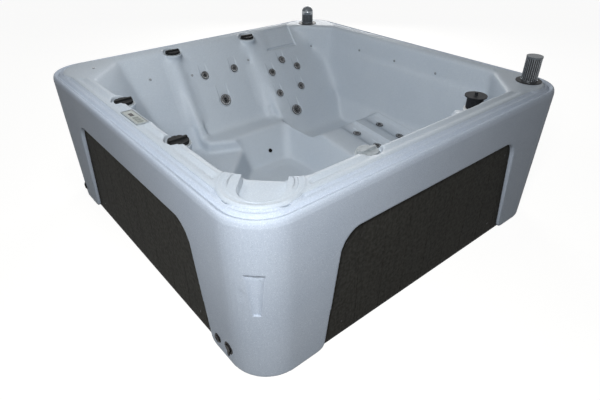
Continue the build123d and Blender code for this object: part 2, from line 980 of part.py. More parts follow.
def jet_insert(large):
    """The turning face of a jet, with its stem in the housing's bore."""
    face_radius, _, bore_radius = jet_radii(large)
    low = jet_plate + fit_gap
    top = low + insert_plate
    nozzle = insert_nozzle_share * face_radius
    insert = disc(face_radius - jet_rim_width - fit_gap, low, top)
    insert += disc(bore_radius - fit_gap, -insert_stem, low)
    insert += disc(nozzle + insert_wall, top, low + insert_nozzle)
    insert -= disc(nozzle, -insert_stem, low + insert_nozzle)
    hole = disc(insert_hole_share * face_radius, low, top)
    insert -= ring_of(insert_hole_count, insert_ring_share * face_radius, hole)
    spoke = centred_block((2 * nozzle, insert_wall), -insert_stem, low)
    return insert + (spoke & disc(nozzle, -insert_stem, low))


def jet_housings(large):
    return joined([place * jet_housing(large) for _, place, is_large in jets() if is_large == large])


# Diverter valves


def diverter_valve():
    body = disc(valve_flange_radius, 0, valve_flange_thickness) + disc(valve_radius, -valve_length, 0)
    body += disc(valve_port_radius, -valve_length - valve_port_length, -valve_length)
    port_bore = valve_port_radius - valve_port_wall
    body -= disc(port_bore, -valve_length - valve_port_length, -valve_length + valve_port_length)
    return body - disc(knob_stem_radius + fit_gap, -knob_stem_length - fit_gap, valve_flange_thickness)


def diverter_knob():
    low = valve_flange_thickness + fit_gap
    top = low + knob_height
    scallop = disc(knob_scallop_radius, low, top)
    place = knob_radius + knob_scallop_radius - knob_scallop_depth
    knob = disc(knob_radius, low, top) - ring_of(knob_scallop_count, place, scallop)
    bar = centred_block((2 * knob_radius, knob_bar_width), top, top + knob_bar_height)
    bar &= disc(knob_radius - knob_scallop_depth, top, top + knob_bar_height)
    return knob + bar + disc(knob_stem_radius, -knob_stem_length, low)


def diverter_valves():
    return joined([Pos(x, y, pad_height) * diverter_valve() for x, y in diverter_places()])


# Lights, suction covers and the foot port


def light_point():
    head = disc(light_head_radius, 0, light_head_height)
    head = fillet(head.edges().sort_by(Axis.Z)[-1], light_head_height / 2)
    return head + disc(light_barrel_radius, -light_barrel_length, 0)


def suction_cover():
    cover = disc(cover_radius, 0, cover_height)
    cover = chamfer(cover.edges().sort_by(Axis.Z)[-1], cover_height / 2)
    cover += disc(cover_barrel_radius, -cover_barrel_length, 0)
    cover -= disc(cover_barrel_radius - pipe_wall, -cover_barrel_length, cover_height - cover_skin)
    for count in range(cover_slot_count):
        middle = (count - (cover_slot_count - 1) / 2) * cover_slot_pitch
        half_length = math.sqrt((cover_radius - cover_height) ** 2 - middle**2)
        low = (middle - cover_slot / 2, -half_length, cover_skin)
        cover -= box_between(low, (middle + cover_slot / 2, half_length, cover_height))
    return cover


def foot_port():
    port = disc(port_radius, 0, port_rise) + disc(port_barrel_radius, -port_barrel_length, 0)
    return port - disc(port_bore_radius, -port_barrel_length, port_rise)


def wall_ports():
    return joined([place * suction_cover() for place in cover_places()] + [foot_port_place() * foot_port()])


# Speakers


def speaker_bezel():
    inner = speaker_radius + fit_gap
    outer = speaker_sleeve_radius()
    bezel = tube(bezel_radius, inner, 0, bezel_height) + tube(outer, inner, -sleeve_length, 0)
    return bezel + tube(outer, sleeve_drain_radius, -sleeve_length - sleeve_floor, -sleeve_length)


def speaker(core_top, cap):
    """A speaker pod risen to its listening height over the deck."""
    pod = disc(speaker_radius, -speaker_foot, speaker_root) + cap
    pod += disc(speaker_core_radius, speaker_root, core_top)
    bar = disc(speaker_bar_radius, speaker_root, core_top)
    pod += ring_of(speaker_bar_count, (speaker_radius + speaker_core_radius) / 2, bar)
    return pod - disc(speaker_core_radius - speaker_wall, -speaker_foot, core_top - speaker_wall)


def flat_speaker():
    core_top = speaker_height - speaker_cap
    return speaker(core_top, disc(speaker_radius, core_top, speaker_height))


def dome_speaker():
    core_top = dome_speaker_height - dome_height
    shoulder = core_top + dome_height - speaker_radius
    dome = Pos(0, 0, shoulder) * Sphere(speaker_radius)
    dome -= disc(speaker_radius + overrun, shoulder - speaker_radius, shoulder)
    return speaker(core_top, disc(speaker_radius, core_top, shoulder) + dome)


# Skimmer, filter and float


def skimmer_housing():
    plate = centred_block((skimmer_width, skimmer_tall), 0, skimmer_thickness)
    throat_size = skimmer_throat(2 * skimmer_wall)
    housing = plate + centred_block(throat_size, -skimmer_depth, 0)
    housing += disc(skimmer_port_radius, -skimmer_depth - skimmer_port_length, -skimmer_depth)
    housing -= centred_block(skimmer_throat(0), skimmer_wall - skimmer_depth, skimmer_thickness)
    housing -= disc(skimmer_port_radius - skimmer_wall, -skimmer_depth - skimmer_port_length, 0)
    pin_hole = weir_pin_radius + shaft_gap
    reach = throat_size[0] / 2 - skimmer_wall / 2
    x, y, z = weir_axis_place()
    return housing - rod((x - reach, y, z), (x + reach, y, z), pin_hole)


def weir_axis_place():
    """The weir's axis in the skimmer's own plane."""
    return (0, skimmer_throat(0)[1] / 2 - weir_pin_radius - weir_end_gap, -weir_setback)


def skimmer_weir():
    """A flap that hangs plumb from its axis."""
    plane = skimmer_plane()
    x, y, z = weir_axis_place()
    middle = plane.origin + plane.x_dir * x + plane.y_dir * y + plane.z_dir * z
    half = skimmer_throat(0)[0] / 2 - weir_end_gap
    pin_half = skimmer_throat(0)[0] / 2 + skimmer_wall / 2 - fit_gap
    flap = box_between((-half, -weir_thickness / 2, -weir_length), (half, weir_thickness / 2, 0))
    return Pos(*middle) * (flap + rod((-pin_half, 0, 0), (pin_half, 0, 0), weir_pin_radius))


def filter_cartridge():
    body = tube(filter_radius, filter_bore_radius, niche_floor, filter_top)
    pleat = disc(filter_pleat_radius, niche_floor, filter_top)
    body -= ring_of(filter_pleat_count, filter_radius, pleat)
    for low in (niche_floor, filter_top - filter_cap_height):
        body += tube(filter_cap_radius, filter_bore_radius, low, low + filter_cap_height)
    return Pos(*niche_centre, 0) * body


def skimmer_float():
    low = filter_top + fit_gap
    brim = low + float_height
    top = brim + float_brim_height
    body = disc(float_radius, low, brim) + disc(float_brim_radius, brim, top)
    body += disc(float_knob_radius, top, top + float_knob_height)
    body += disc(filter_bore_radius - fit_gap, low - float_stem_length, low)
    return Pos(*niche_centre, 0) * body


# Control panel


def on_deck(piece):
    return Pos(*panel_centre, deck_height) * piece


def panel_pocket(grow):
    width = panel_width - 2 * panel_border
    return (width + grow, panel_length - 2 * panel_border + grow)


def control_panel_housing():
    housing = centred_block((panel_width, panel_length), 0, panel_rise)
    housing += centred_block((panel_body_width, panel_body_length), -panel_body_depth, 0)
    housing -= centred_block(panel_pocket(0), panel_floor, panel_rise)
    inner = (panel_body_width - 2 * panel_body_wall, panel_body_length - 2 * panel_body_wall)
    housing -= centred_block(inner, -panel_body_depth, panel_floor - panel_body_wall)
    return on_deck(housing)


def button_places():
    return [-button_first - button_pitch * count for count in range(button_count)]


def control_faceplate():
    plate = centred_block(panel_pocket(-2 * fit_gap), panel_floor, panel_floor + faceplate_thickness)
    well = (button_width + 2 * fit_gap, button_length + 2 * fit_gap)
    for y in button_places():
        plate -= Pos(0, y, 0) * centred_block(well, 0, panel_rise)
    top = panel_floor + faceplate_thickness
    glass = centred_block((display_width, display_length), top, top + display_rise)
    return on_deck(plate + Pos(0, display_shift, 0) * glass)


def button(y):
    low = panel_floor + button_travel + fit_gap
    high = panel_floor + faceplate_thickness + button_travel + button_rise
    return on_deck(Pos(0, y, 0) * centred_block((button_width, button_length), low, high))


# Cabinet


def screw_places():
    return [(x, z) for x in (-post_place, post_place) for z in (screw_low, screw_high)]


def screw_rods(radius):
    """Straight bores or shanks for the screws of the panel on -Y."""
    end = screw_length - board_face
    return [rod((x, -board_face, z), (x, end, z), radius) for x, z in screw_places()]


def panel():
    """The boarded panel on -Y."""
    face = offset(leg_opening(), amount=board_overlap)
    slab = extrude(Plane.XZ.offset(board_face) * face, -board_thickness)
    slab &= box_between((-tub_half, -tub_half, pan_thickness), (tub_half, 0, rim_height))
    for count in range(board_groove_count):
        x = board_shift + (count - (board_groove_count - 1) / 2) * board_pitch
        low = (x - board_groove_width / 2, -board_face, 0)
        slab -= box_between(low, (x + board_groove_width / 2, board_groove_depth - board_face, rim_height))
    return slab - screw_rods(screw_shank_radius + fit_gap)


def panel_screws():
    screws = []
    for (x, z), shank in zip(screw_places(), screw_rods(screw_shank_radius)):
        head = rod((x, -board_face - screw_head_height, z), (x, -board_face, z), screw_head_radius)
        screws.append(head + shank)
    return Compound(children=[piece for screw in screws for piece in four_sides(screw)])


def base_pan():
    return extrude(square_at(board_face, pan_corner_radius, 0), pan_thickness)


def frame():
    rods = screw_rods(screw_shank_radius + fit_gap)
    half = rail_half_length
    top_rail = shelf_underside - rail_size
    rails, posts = [], []
    for z in (pan_thickness, top_rail):
        rails.append(box_between((-half, -frame_outer, z), (half, -frame_inner, z + rail_size)))
    for x in (-post_place, post_place):
        low = (x - rail_size / 2, -frame_outer, pan_thickness + rail_size)
        posts.append(box_between(low, (x + rail_size / 2, -frame_inner, top_rail)))
    return Compound(children=[piece for bar in rails + posts for piece in four_sides(bar - rods)])


def panel_insulation():
    half = post_place - rail_size / 2
    low = (-half, -frame_outer, pan_thickness + rail_size)
    return Compound(children=four_sides(box_between(low, (half, sheet_thickness - frame_outer, sheet_top))))


def shell_props():
    floor = floor_height - floor_panel_depth
    spots = [(footwell_reach * x, footwell_reach * y, floor) for x, y in floor_prop_shares]
    corner = -seat_back_foot * corner_prop_share
    spots += [(corner, side * corner, corner_pan_height) for side in (-1, 1)]
    lounge_x = lounge_left + (basin_half - lounge_left) * lounge_prop_share
    hip_y = (lounge_hip_front + lounge_back_foot) / 2
    calf_y = lounge_calf_end - prop_size / 2
    spots += [(lounge_x, hip_y, lounge_hip_height), (lounge_left + prop_size, calf_y, lounge_calf_height)]
    size = (prop_size, prop_size)
    blocks = [Pos(x, y, 0) * centred_block(size, pan_thickness, top - shell_wall) for x, y, top in spots]
    return Compound(children=blocks)


# Fittings on the legs


def drain_valve():
    floor = -drain_cup_depth
    cup = disc(drain_flange_radius, 0, drain_flange) + disc(drain_cup_radius, floor, 0)
    cup += disc(drain_pipe_radius, floor - drain_pipe_length, floor)
    cup -= disc(drain_cup_radius - drain_cup_wall, floor + drain_cup_wall, drain_flange)
    return drain_place() * (cup - disc(drain_stem_radius + fit_gap, floor - drain_pipe_length, 0))


def drain_valve_handle():
    """A cap with a lever that points up when the valve is shut."""
    low = drain_flange + fit_gap
    top = low + drain_lever_thickness
    cap = disc(drain_cap_radius, -drain_cap_depth, top)
    cap += disc(drain_stem_radius, -drain_cup_depth - drain_cap_depth, -drain_cap_depth)
    half = drain_lever_width / 2
    lever = box_between((0, -half, low), (drain_lever_length - half, half, top))
    lever += Pos(drain_lever_length - half, 0, 0) * disc(half, low, top)
    return drain_place() * Rot(0, 0, drain_lever_turn) * (cap + lever)


def gland():
    top = gland_flange + gland_dome
    body = disc(gland_radius, 0, gland_flange) + disc(gland_dome_radius, gland_flange, top)
    body += disc(gland_barrel_radius, -gland_barrel_length, 0)
    return body


def cable_gland():
    bore = disc(gland_bore_radius, -gland_barrel_length, gland_flange + gland_dome)
    return gland_place() * (gland() - bore)


def vent_cap():
    cap = gland() - disc(gland_bore_radius, -gland_barrel_length, 0)
    for count in range(vent_slot_count):
        middle = (count - (vent_slot_count - 1) / 2) * vent_slot_pitch
        half = math.sqrt(max(vent_slot, gland_dome_radius - vent_slot) ** 2 - middle**2)
        low = (-half, middle - vent_slot / 2, gland_flange)
        cap -= box_between(low, (half, middle + vent_slot / 2, gland_flange + gland_dome))
    return vent_place() * cap


# Pump, heater and pipes


def pump_plane():
    """The pump's own frame: its axis runs from the inlet into the motor along +Y."""
    return Plane(origin=(pump_place, -pump_front, pump_axis_height), x_dir=(1, 0, 0), z_dir=(0, 1, 0))


def pump_foot(low, high, radius):
    """A foot from the base pan up to a round body."""
    drop = pump_axis_height - pan_thickness
    size = pump_foot_width / 2
    return box_between((-size, 0, low), (size, drop, high)) - disc(radius, low, high)


def pump_wet_end():
    bore = pipe_radius - pipe_wall
    body = disc(volute_radius, 0, volute_length)
    middle = volute_length / 2
    spout = ((-discharge_offset, 0, middle), (-discharge_offset, -discharge_rise, middle))
    body += rod(*spout, pipe_radius)
    body += pump_foot(0, volute_length, volute_radius - volute_wall)
    body -= disc(volute_radius - volute_wall, volute_wall, volute_length - volute_wall)
    body -= rod(*spout, bore)
    body -= disc(bore, 0, volute_wall)
    return pump_plane() * (body - disc(shaft_radius + shaft_gap, 0, volute_length))


def pump_motor():
    start = volute_length
    end = start + motor_length
    fin = centred_block((motor_fin_height, motor_fin_width), start + bearing_length, end - bearing_length)
    body = disc(motor_radius, start, end)
    for piece in ring_of(motor_fin_count, motor_radius + motor_fin_height / 2 - fit_gap, fin):
        body += piece
    body += pump_foot(start + bearing_length, end - bearing_length, motor_radius - motor_wall)
    body -= disc(motor_radius - motor_wall, start + bearing_length, end - bearing_length)
    return pump_plane() * (body - disc(shaft_radius + shaft_gap, start, end))


def pump_rotor():
    """Impeller, shaft and armature in one turning piece."""
    back = impeller_setback + vane_height
    start = volute_length + (motor_length - armature_length) / 2
    rotor = disc(impeller_radius, back, back + impeller_disc)
    rotor += disc(impeller_hub_radius, impeller_setback, back)
    rotor += disc(shaft_radius, back, volute_length + motor_length)
    half = vane_thickness / 2
    vane = box_between((0, -half, impeller_setback), (impeller_radius, half, back))
    for turn in range(vane_count):
        rotor += Rot(0, 0, 360 * turn / vane_count) * vane
    return pump_plane() * (rotor + disc(armature_radius, start, start + armature_length))


def suction_pipe():
    bore = pipe_radius - pipe_wall
    first = cover_places()[0]
    reach = cover_barrel_length + pipe_radius
    x = first.origin.X - first.z_dir.X * reach
    z = first.origin.Z - first.z_dir.Z * reach
    turn_y = -pump_front - suction_run
    points = ((x, suction_end, z), (x, turn_y, z), (pump_place, turn_y, z), (pump_place, -pump_front, z))
    inner_points = ((x, suction_end - pipe_wall, z), *points[1:])
    pipe = along_path(bent_path(points, suction_turn), pipe_radius)
    for place in cover_places():
        pipe += place * disc(cover_barrel_radius, -reach, -cover_barrel_length)
    pipe -= along_path(bent_path(inner_points, suction_turn), bore)
    for place in cover_places():
        pipe -= place * disc(cover_barrel_radius - pipe_wall, -reach, -cover_barrel_length)
    return pipe


def pressure_pipes():
    bore = pipe_radius - pipe_wall
    mid = volute_length / 2 - pump_front
    rise_end = pump_axis_height + discharge_rise
    riser = bent_path(
        (
            (service_place, mid, rise_end),
            (service_place, mid, heater_height),
            (service_place, -heater_start, heater_height),
        ),
        discharge_turn,
    )
    end = -heater_start - heater_length
    far = -(tub_half - manifold_inset)
    trunk_points = (
        (service_place, end, heater_height),
        (service_place, far, heater_height),
        (manifold_end, far, heater_height),
    )
    inner_points = (*trunk_points[:2], (manifold_end - pipe_wall, far, heater_height))
    trunk = along_path(bent_path(trunk_points, manifold_turn), pipe_radius)
    stubs = []
    for count in range(stub_count):
        x = manifold_end - stub_pitch * (count + 1)
        stubs.append((x, far, heater_height))
    for x, y, z in stubs:
        trunk += rod((x, y, z), (x, y, z + pipe_radius + stub_length), stub_radius)
    trunk -= along_path(bent_path(inner_points, manifold_turn), bore)
    for x, y, z in stubs:
        trunk -= rod((x, y, z), (x, y, z + pipe_radius + stub_length), stub_bore_radius)
    return Compound(children=[along_path(riser, pipe_radius) - along_path(riser, bore), trunk])


def heater():
    start = -heater_start
    end = start - heater_length
    bore = pipe_radius - pipe_wall
    axis = (service_place, heater_height)

    def along(first, last, radius, x=axis[0]):
        return rod((x, first, axis[1]), (x, last, axis[1]), radius)

    body = along(start, end, heater_radius)
    for y in (start - saddle_inset, end + saddle_inset / 2):
        low = (service_place - saddle_depth / 2, y - saddle_width / 2, pack_top)
        body += box_between(low, (service_place + saddle_depth / 2, y + saddle_width / 2, heater_height))
    body -= along(start - heater_wall, end + heater_wall, heater_radius - heater_wall)
    body -= along(start, end, bore)
    for side in (-1, 1):
        x = service_place + side * heater_element_pitch
        body += along(start, end, heater_element_radius, x)
    return body


def control_box():
    half = pack_width / 2
    low = (service_place - half, -pack_start - pack_length, pan_thickness)
    high = (service_place + half, -pack_start, pack_top)
    box = box_between(low, high)
    box -= box_between([v + pack_wall for v in low], [v - pack_wall for v in high])
    for count in (-1, 0, 1):
        y = -pack_start - pack_length / 2 + count * pack_entry_pitch
        x = service_place + half
        z = pan_thickness + pack_entry_pitch
        box -= rod((x - 2 * pack_wall, y, z), (x + pack_wall, y, z), pack_entry_radius)
    return box


os.makedirs("parts", exist_ok=True)
write(surround(), "surround")
write(shell(), "shell")
front = panel()
for name, turn in (("panel_front", 0), ("panel_right", 1), ("panel_rear", 2), ("panel_left", 3)):
    write(Rot(0, 0, 90 * turn) * front, name)
write(panel_screws(), "panel_screws")
write(base_pan(), "base_pan")
write(frame(), "frame")
write(panel_insulation(), "panel_insulation")
write(shell_props(), "shell_props")
write(jet_housings(False), "jet_housings_small")
write(jet_housings(True), "jet_housings_large")
for name, place, large in jets():
    write(place * jet_insert(large), name)
write(diverter_valves(), "diverter_valves")
knob_names = ("diverter_rear", "diverter_lounge", "air_knob_corner", "air_knob_left", "air_knob_front")
for name, (x, y) in zip(knob_names, diverter_places()):
    write(Pos(x, y, pad_height) * diverter_knob(), name)
write(joined([place * light_point() for place in light_places()]), "light_points")
write(wall_ports(), "wall_ports")
speakers = joined([Pos(*centre, deck_height) * speaker_bezel() for centre in (right_speaker, far_speaker)])
write(speakers, "speaker_bezels")
write(Pos(*right_speaker, deck_height) * flat_speaker(), "speaker_right")
write(Pos(*far_speaker, deck_height) * dome_speaker(), "speaker_far")
write(skimmer_plane() * skimmer_housing(), "skimmer_housing")
write(skimmer_weir(), "skimmer_weir")
write(filter_cartridge(), "filter_cartridge")
write(skimmer_float(), "skimmer_float")
write(control_panel_housing(), "control_panel_housing")
write(control_faceplate(), "control_faceplate")
for count, y in enumerate(button_places(), 1):
    write(button(y), f"control_button_{count}")
write(drain_valve(), "drain_valve")
write(drain_valve_handle(), "drain_valve_handle")
write(cable_gland(), "cable_gland")
write(vent_cap(), "vent_cap")
write(pump_wet_end(), "pump_wet_end")
write(pump_motor(), "pump_motor")
write(pump_rotor(), "pump_rotor")
write(suction_pipe(), "suction_pipe")
write(pressure_pipes(), "pressure_pipes")
write(heater(), "heater")
write(control_box(), "control_box")
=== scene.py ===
import math
import bpy
import bmesh
import numpy as np
from mathutils import Euler, Matrix, Vector
from mathutils.kdtree import KDTree


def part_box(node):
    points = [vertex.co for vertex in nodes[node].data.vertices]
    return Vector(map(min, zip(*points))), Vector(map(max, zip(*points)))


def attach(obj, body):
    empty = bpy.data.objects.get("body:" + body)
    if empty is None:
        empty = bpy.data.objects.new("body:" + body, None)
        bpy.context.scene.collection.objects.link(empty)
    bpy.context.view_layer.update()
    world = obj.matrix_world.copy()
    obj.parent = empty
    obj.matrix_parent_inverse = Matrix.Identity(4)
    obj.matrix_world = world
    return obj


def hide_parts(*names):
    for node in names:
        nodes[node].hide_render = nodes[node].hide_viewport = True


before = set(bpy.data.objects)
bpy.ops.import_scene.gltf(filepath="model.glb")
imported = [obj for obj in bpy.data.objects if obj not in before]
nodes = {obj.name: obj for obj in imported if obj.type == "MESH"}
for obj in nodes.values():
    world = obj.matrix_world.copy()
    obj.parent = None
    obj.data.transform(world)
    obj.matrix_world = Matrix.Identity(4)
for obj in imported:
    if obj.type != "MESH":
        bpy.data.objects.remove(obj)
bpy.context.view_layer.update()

white = (1.0, 1.0, 1.0, 1.0)
diagonal = math.sqrt(2)
print("frame loaded:", len(nodes), "nodes")


# helpers for node trees

def feed(tree, socket, value):
    if isinstance(value, bpy.types.NodeSocket):
        tree.links.new(value, socket)
    else:
        socket.default_value = value


def addNode(tree, kind, sockets, **settings):
    made = tree.nodes.new(kind)
    for name, value in settings.items():
        setattr(made, name, value)
    for key, value in sockets.items():
        feed(tree, made.inputs[key], value)
    return made


def mathNode(tree, operation, *values, clamp=False):
    made = tree.nodes.new("ShaderNodeMath")
    made.operation, made.use_clamp = operation, clamp
    for index, value in enumerate(values):
        feed(tree, made.inputs[index], value)
    return made.outputs[0]


def plus(tree, first, second):
    return mathNode(tree, "ADD", first, second)


def minus(tree, first, second):
    return mathNode(tree, "SUBTRACT", first, second)


def times(tree, first, second):
    return mathNode(tree, "MULTIPLY", first, second)


def remap(tree, value, fromMin, fromMax, toMin=0.0, toMax=1.0, smooth=False):
    made = addNode(tree, "ShaderNodeMapRange", {"Value": value, "From Min": fromMin, "From Max": fromMax,
                                                "To Min": toMin, "To Max": toMax})
    made.interpolation_type = "SMOOTHSTEP" if smooth else "LINEAR"
    return made.outputs["Result"]


def withAlpha(value):
    return (*value, 1.0) if isinstance(value, tuple) else value


def mixColour(tree, factor, first, second):
    made = tree.nodes.new("ShaderNodeMix")
    made.data_type = "RGBA"
    for index, value in ((0, factor), (6, first), (7, second)):  # the colour sockets of a mix node
        feed(tree, made.inputs[index], withAlpha(value))
    return made.outputs[2]


def toned(tree, value, span, first, second):
    # from the first colour to the second as the value goes through its span
    return mixColour(tree, remap(tree, value, *span), first, second)


def objectPlace(tree):
    return tree.nodes.new("ShaderNodeTexCoord").outputs["Object"]


def axesOf(tree, vector):
    return addNode(tree, "ShaderNodeSeparateXYZ", {"Vector": vector}).outputs


def stretched(tree, place, scale):
    return addNode(tree, "ShaderNodeMapping", {"Vector": place, "Scale": scale}).outputs[0]


def noise(tree, place, scale, detail, roughness=0.5):
    return addNode(tree, "ShaderNodeTexNoise", {"Vector": place, "Scale": scale, "Detail": detail,
                                                "Roughness": roughness}).outputs["Fac"]


def cells(tree, place, scale):
    return addNode(tree, "ShaderNodeTexVoronoi", {"Vector": place, "Scale": scale}).outputs["Distance"]


def newGroup(name, inputs, outputs):
    tree = bpy.data.node_groups.new(name, "ShaderNodeTree")
    for label, value in inputs:
        kind = "NodeSocketColor" if isinstance(value, tuple) else "NodeSocketFloat"
        socket = tree.interface.new_socket(label, in_out="INPUT", socket_type=kind)
        socket.default_value = withAlpha(value)
    for label, kind in outputs:
        tree.interface.new_socket(label, in_out="OUTPUT", socket_type="NodeSocket" + kind)
    return tree, tree.nodes.new("NodeGroupInput").outputs, tree.nodes.new("NodeGroupOutput").inputs


def useGroup(tree, group, **sockets):
    made = tree.nodes.new("ShaderNodeGroup")
    made.node_tree = group
    for key, value in sockets.items():
        feed(tree, made.inputs[key], withAlpha(value))
    return made.outputs


def newMaterial(name, metallic=0.0, specular=0.5):
    material = bpy.data.materials.new(name)
    material.use_nodes = True
    tree = material.node_tree
    shader = tree.nodes["Principled BSDF"].inputs
    shader["Metallic"].default_value = metallic
    shader["Specular IOR Level"].default_value = specular
    return material, tree, shader


def surface(tree, shader, colour, roughness, height, distance):
    bump = addNode(tree, "ShaderNodeBump", {"Height": height, "Distance": distance})
    feed(tree, shader["Base Color"], colour)
    feed(tree, shader["Roughness"], roughness)
    feed(tree, shader["Normal"], bump.outputs[0])


# camera, floor and light

studio = {
    "eye": (-1.7316, -2.1409, 1.7665),
    "turn": 0.8803, "tilt": -0.5808, "roll": -0.0024,  # radians from +X, from level, about the view
    "lens": 28.66, "sensor": 36.0, "clip": (0.02, 100.0),
    "floorColour": (0.17, 0.165, 0.15), "floorRoughness": 0.9, "floorGloss": 0.1,
    "floorRadius": 40.0, "floorSides": 64,
    "floorLift": 0.92,  # what the floor adds for the rays that see the backdrop
    "ambient": 0.03,  # what all other rays see of the backdrop's white
}
lampPlaces = [  # name, place, aimed at, size, watts
    ("keyLamp", (-1.88, -2.02, 2.10), (-0.5, -0.5, 0.45), 0.5, 60.0),
    ("topLamp", (-0.98, 0.30, 2.1), (0.9, 0.1, 0.70), 0.5, 14.5),
    ("backLamp", (2.9, 3.0, 1.9), (0.7, 0.7, 0.45), 2.2, 80.0),
]


def backgroundMask(tree):
    # camera, glossy and glass rays see the plain white backdrop
    path = tree.nodes.new("ShaderNodeLightPath").outputs
    seen = mathNode(tree, "MAXIMUM", path["Is Camera Ray"], path["Is Glossy Ray"])
    return mathNode(tree, "MAXIMUM", seen, path["Is Transmission Ray"])


def placeCamera(scene):
    camera = bpy.data.objects.new("photoCamera", bpy.data.cameras.new("photoCamera"))
    scene.collection.objects.link(camera)
    camera.location = studio["eye"]
    look = Euler((math.pi / 2 + studio["tilt"], 0.0, studio["turn"] - math.pi / 2)).to_matrix()
    camera.rotation_euler = (look @ Matrix.Rotation(studio["roll"], 3, "Z")).to_euler()
    camera.data.sensor_width, camera.data.lens = studio["sensor"], studio["lens"]
    camera.data.clip_start, camera.data.clip_end = studio["clip"]
    scene.camera = camera


def placeLamps(scene):
    for name, place, target, size, watts in lampPlaces:
        lamp = bpy.data.objects.new(name, bpy.data.lights.new(name, "AREA"))
        lamp.data.size, lamp.data.energy = size, watts
        lamp.location = place
        lamp.rotation_euler = (Vector(target) - Vector(place)).to_track_quat("-Z", "Y").to_euler()
        scene.collection.objects.link(lamp)


def makeBackdrop(scene):
    world = bpy.data.worlds.new("paleRoom")
    scene.world = world
    world.use_nodes = True
    tree = world.node_tree
    level = mathNode(tree, "MULTIPLY_ADD", backgroundMask(tree), 1.0 - studio["ambient"], studio["ambient"])
    feed(tree, tree.nodes["Background"].inputs["Strength"], level)
    tree.nodes["Background"].inputs["Color"].default_value = white


def layFloor(scene):
    bm = bmesh.new()
    bmesh.ops.create_circle(bm, cap_ends=True, segments=studio["floorSides"], radius=studio["floorRadius"])
    mesh = bpy.data.meshes.new("studioFloor")
    bm.to_mesh(mesh)
    bm.free()
    floor = bpy.data.objects.new("studioFloor", mesh)
    scene.collection.objects.link(floor)
    material, tree, shader = newMaterial("paleFloor", specular=studio["floorGloss"])
    shader["Base Color"].default_value = withAlpha(studio["floorColour"])
    shader["Roughness"].default_value = studio["floorRoughness"]
    shader["Emission Color"].default_value = white
    feed(tree, shader["Emission Strength"], times(tree, backgroundMask(tree), studio["floorLift"]))
    mesh.materials.append(material)


def makeStudio():
    scene = bpy.context.scene
    placeCamera(scene)
    placeLamps(scene)
    makeBackdrop(scene)
    layFloor(scene)
    scene.view_settings.view_transform = "Standard"


makeStudio()
print("studio ready")


# shared effects, each a group that more than one finish uses
# a noise is its scale, detail and roughness; a span is where a mask starts and where it is full

fleckLook = {
    "coarse": (190.0, 3.0, 0.65), "coarseSpan": (0.54, 0.66),
    "fine": (420.0, 2.0, 0.6), "fineSpan": (0.55, 0.68), "fineHeight": 0.5,
    "cloud": (2.6, 3.0, 0.5), "cloudSpan": (0.3, 0.7), "cloudMost": 0.22,
}
wearLook = {"noise": (60.0, 4.0), "noiseSpan": (0.35, 0.7), "edgeSpan": (0.505, 0.56)}
filmLook = {"noise": (9.0, 5.0, 0.6), "noiseSpan": (0.3, 0.75), "upSpan": (0.1, 1.0), "upShare": (0.25, 1.0),
            "roughening": 0.6}
pebbleLook = {"smearScale": 0.22, "smearDetail": 3.0}
brushLook = {"stretch": (1.0, 1.0, 0.05), "lineDetail": 3.0, "smudge": (35.0, 3.0), "unevenness": 0.18}
toneSpan = (0.35, 0.7)  # of a grain's noise, from a finish's first colour to its second
steelSpan = (0.3, 0.7)


def makeGraniteFlecks():
    # the moulding's speckle: pale and dark flecks over a slow cloud
    tree, given, out = newGroup(
        "graniteFlecks",
        [("Base", (0.5, 0.5, 0.5)), ("Pale", (0.8, 0.8, 0.8)), ("Dark", (0.2, 0.2, 0.2)),
         ("Size", 1.0), ("Amount", 1.0)],
        [("Colour", "Color"), ("Height", "Float")])
    place = objectPlace(tree)
    coarseScale, *coarseDetail = fleckLook["coarse"]
    coarse = noise(tree, place, times(tree, given["Size"], coarseScale), *coarseDetail)
    fineScale, *fineDetail = fleckLook["fine"]
    fine = noise(tree, place, times(tree, given["Size"], fineScale), *fineDetail)
    cloud = noise(tree, place, *fleckLook["cloud"])
    cloud = remap(tree, cloud, *fleckLook["cloudSpan"], 0.0, fleckLook["cloudMost"])
    paleMask = times(tree, remap(tree, coarse, *fleckLook["coarseSpan"]), given["Amount"])
    darkMask = times(tree, remap(tree, fine, *fleckLook["fineSpan"]), given["Amount"])
    tone = mixColour(tree, cloud, given["Base"], given["Pale"])
    tone = mixColour(tree, paleMask, tone, given["Pale"])
    tone = mixColour(tree, darkMask, tone, given["Dark"])
    feed(tree, out["Colour"], tone)
    feed(tree, out["Height"], plus(tree, coarse, times(tree, fine, fleckLook["fineHeight"])))
    return tree


def makeEdgeWear():
    # paler where corners stick out, broken up by a noise
    tree, given, out = newGroup(
        "edgeWear",
        [("Colour", (0.5, 0.5, 0.5)), ("Worn", (0.8, 0.8, 0.8)), ("Amount", 0.5)],
        [("Colour", "Color")])
    point = tree.nodes.new("ShaderNodeNewGeometry").outputs["Pointiness"]
    broken = remap(tree, noise(tree, objectPlace(tree), *wearLook["noise"]), *wearLook["noiseSpan"])
    mask = times(tree, remap(tree, point, *wearLook["edgeSpan"]), times(tree, broken, given["Amount"]))
    feed(tree, out["Colour"], mixColour(tree, mask, given["Colour"], given["Worn"]))
    return tree


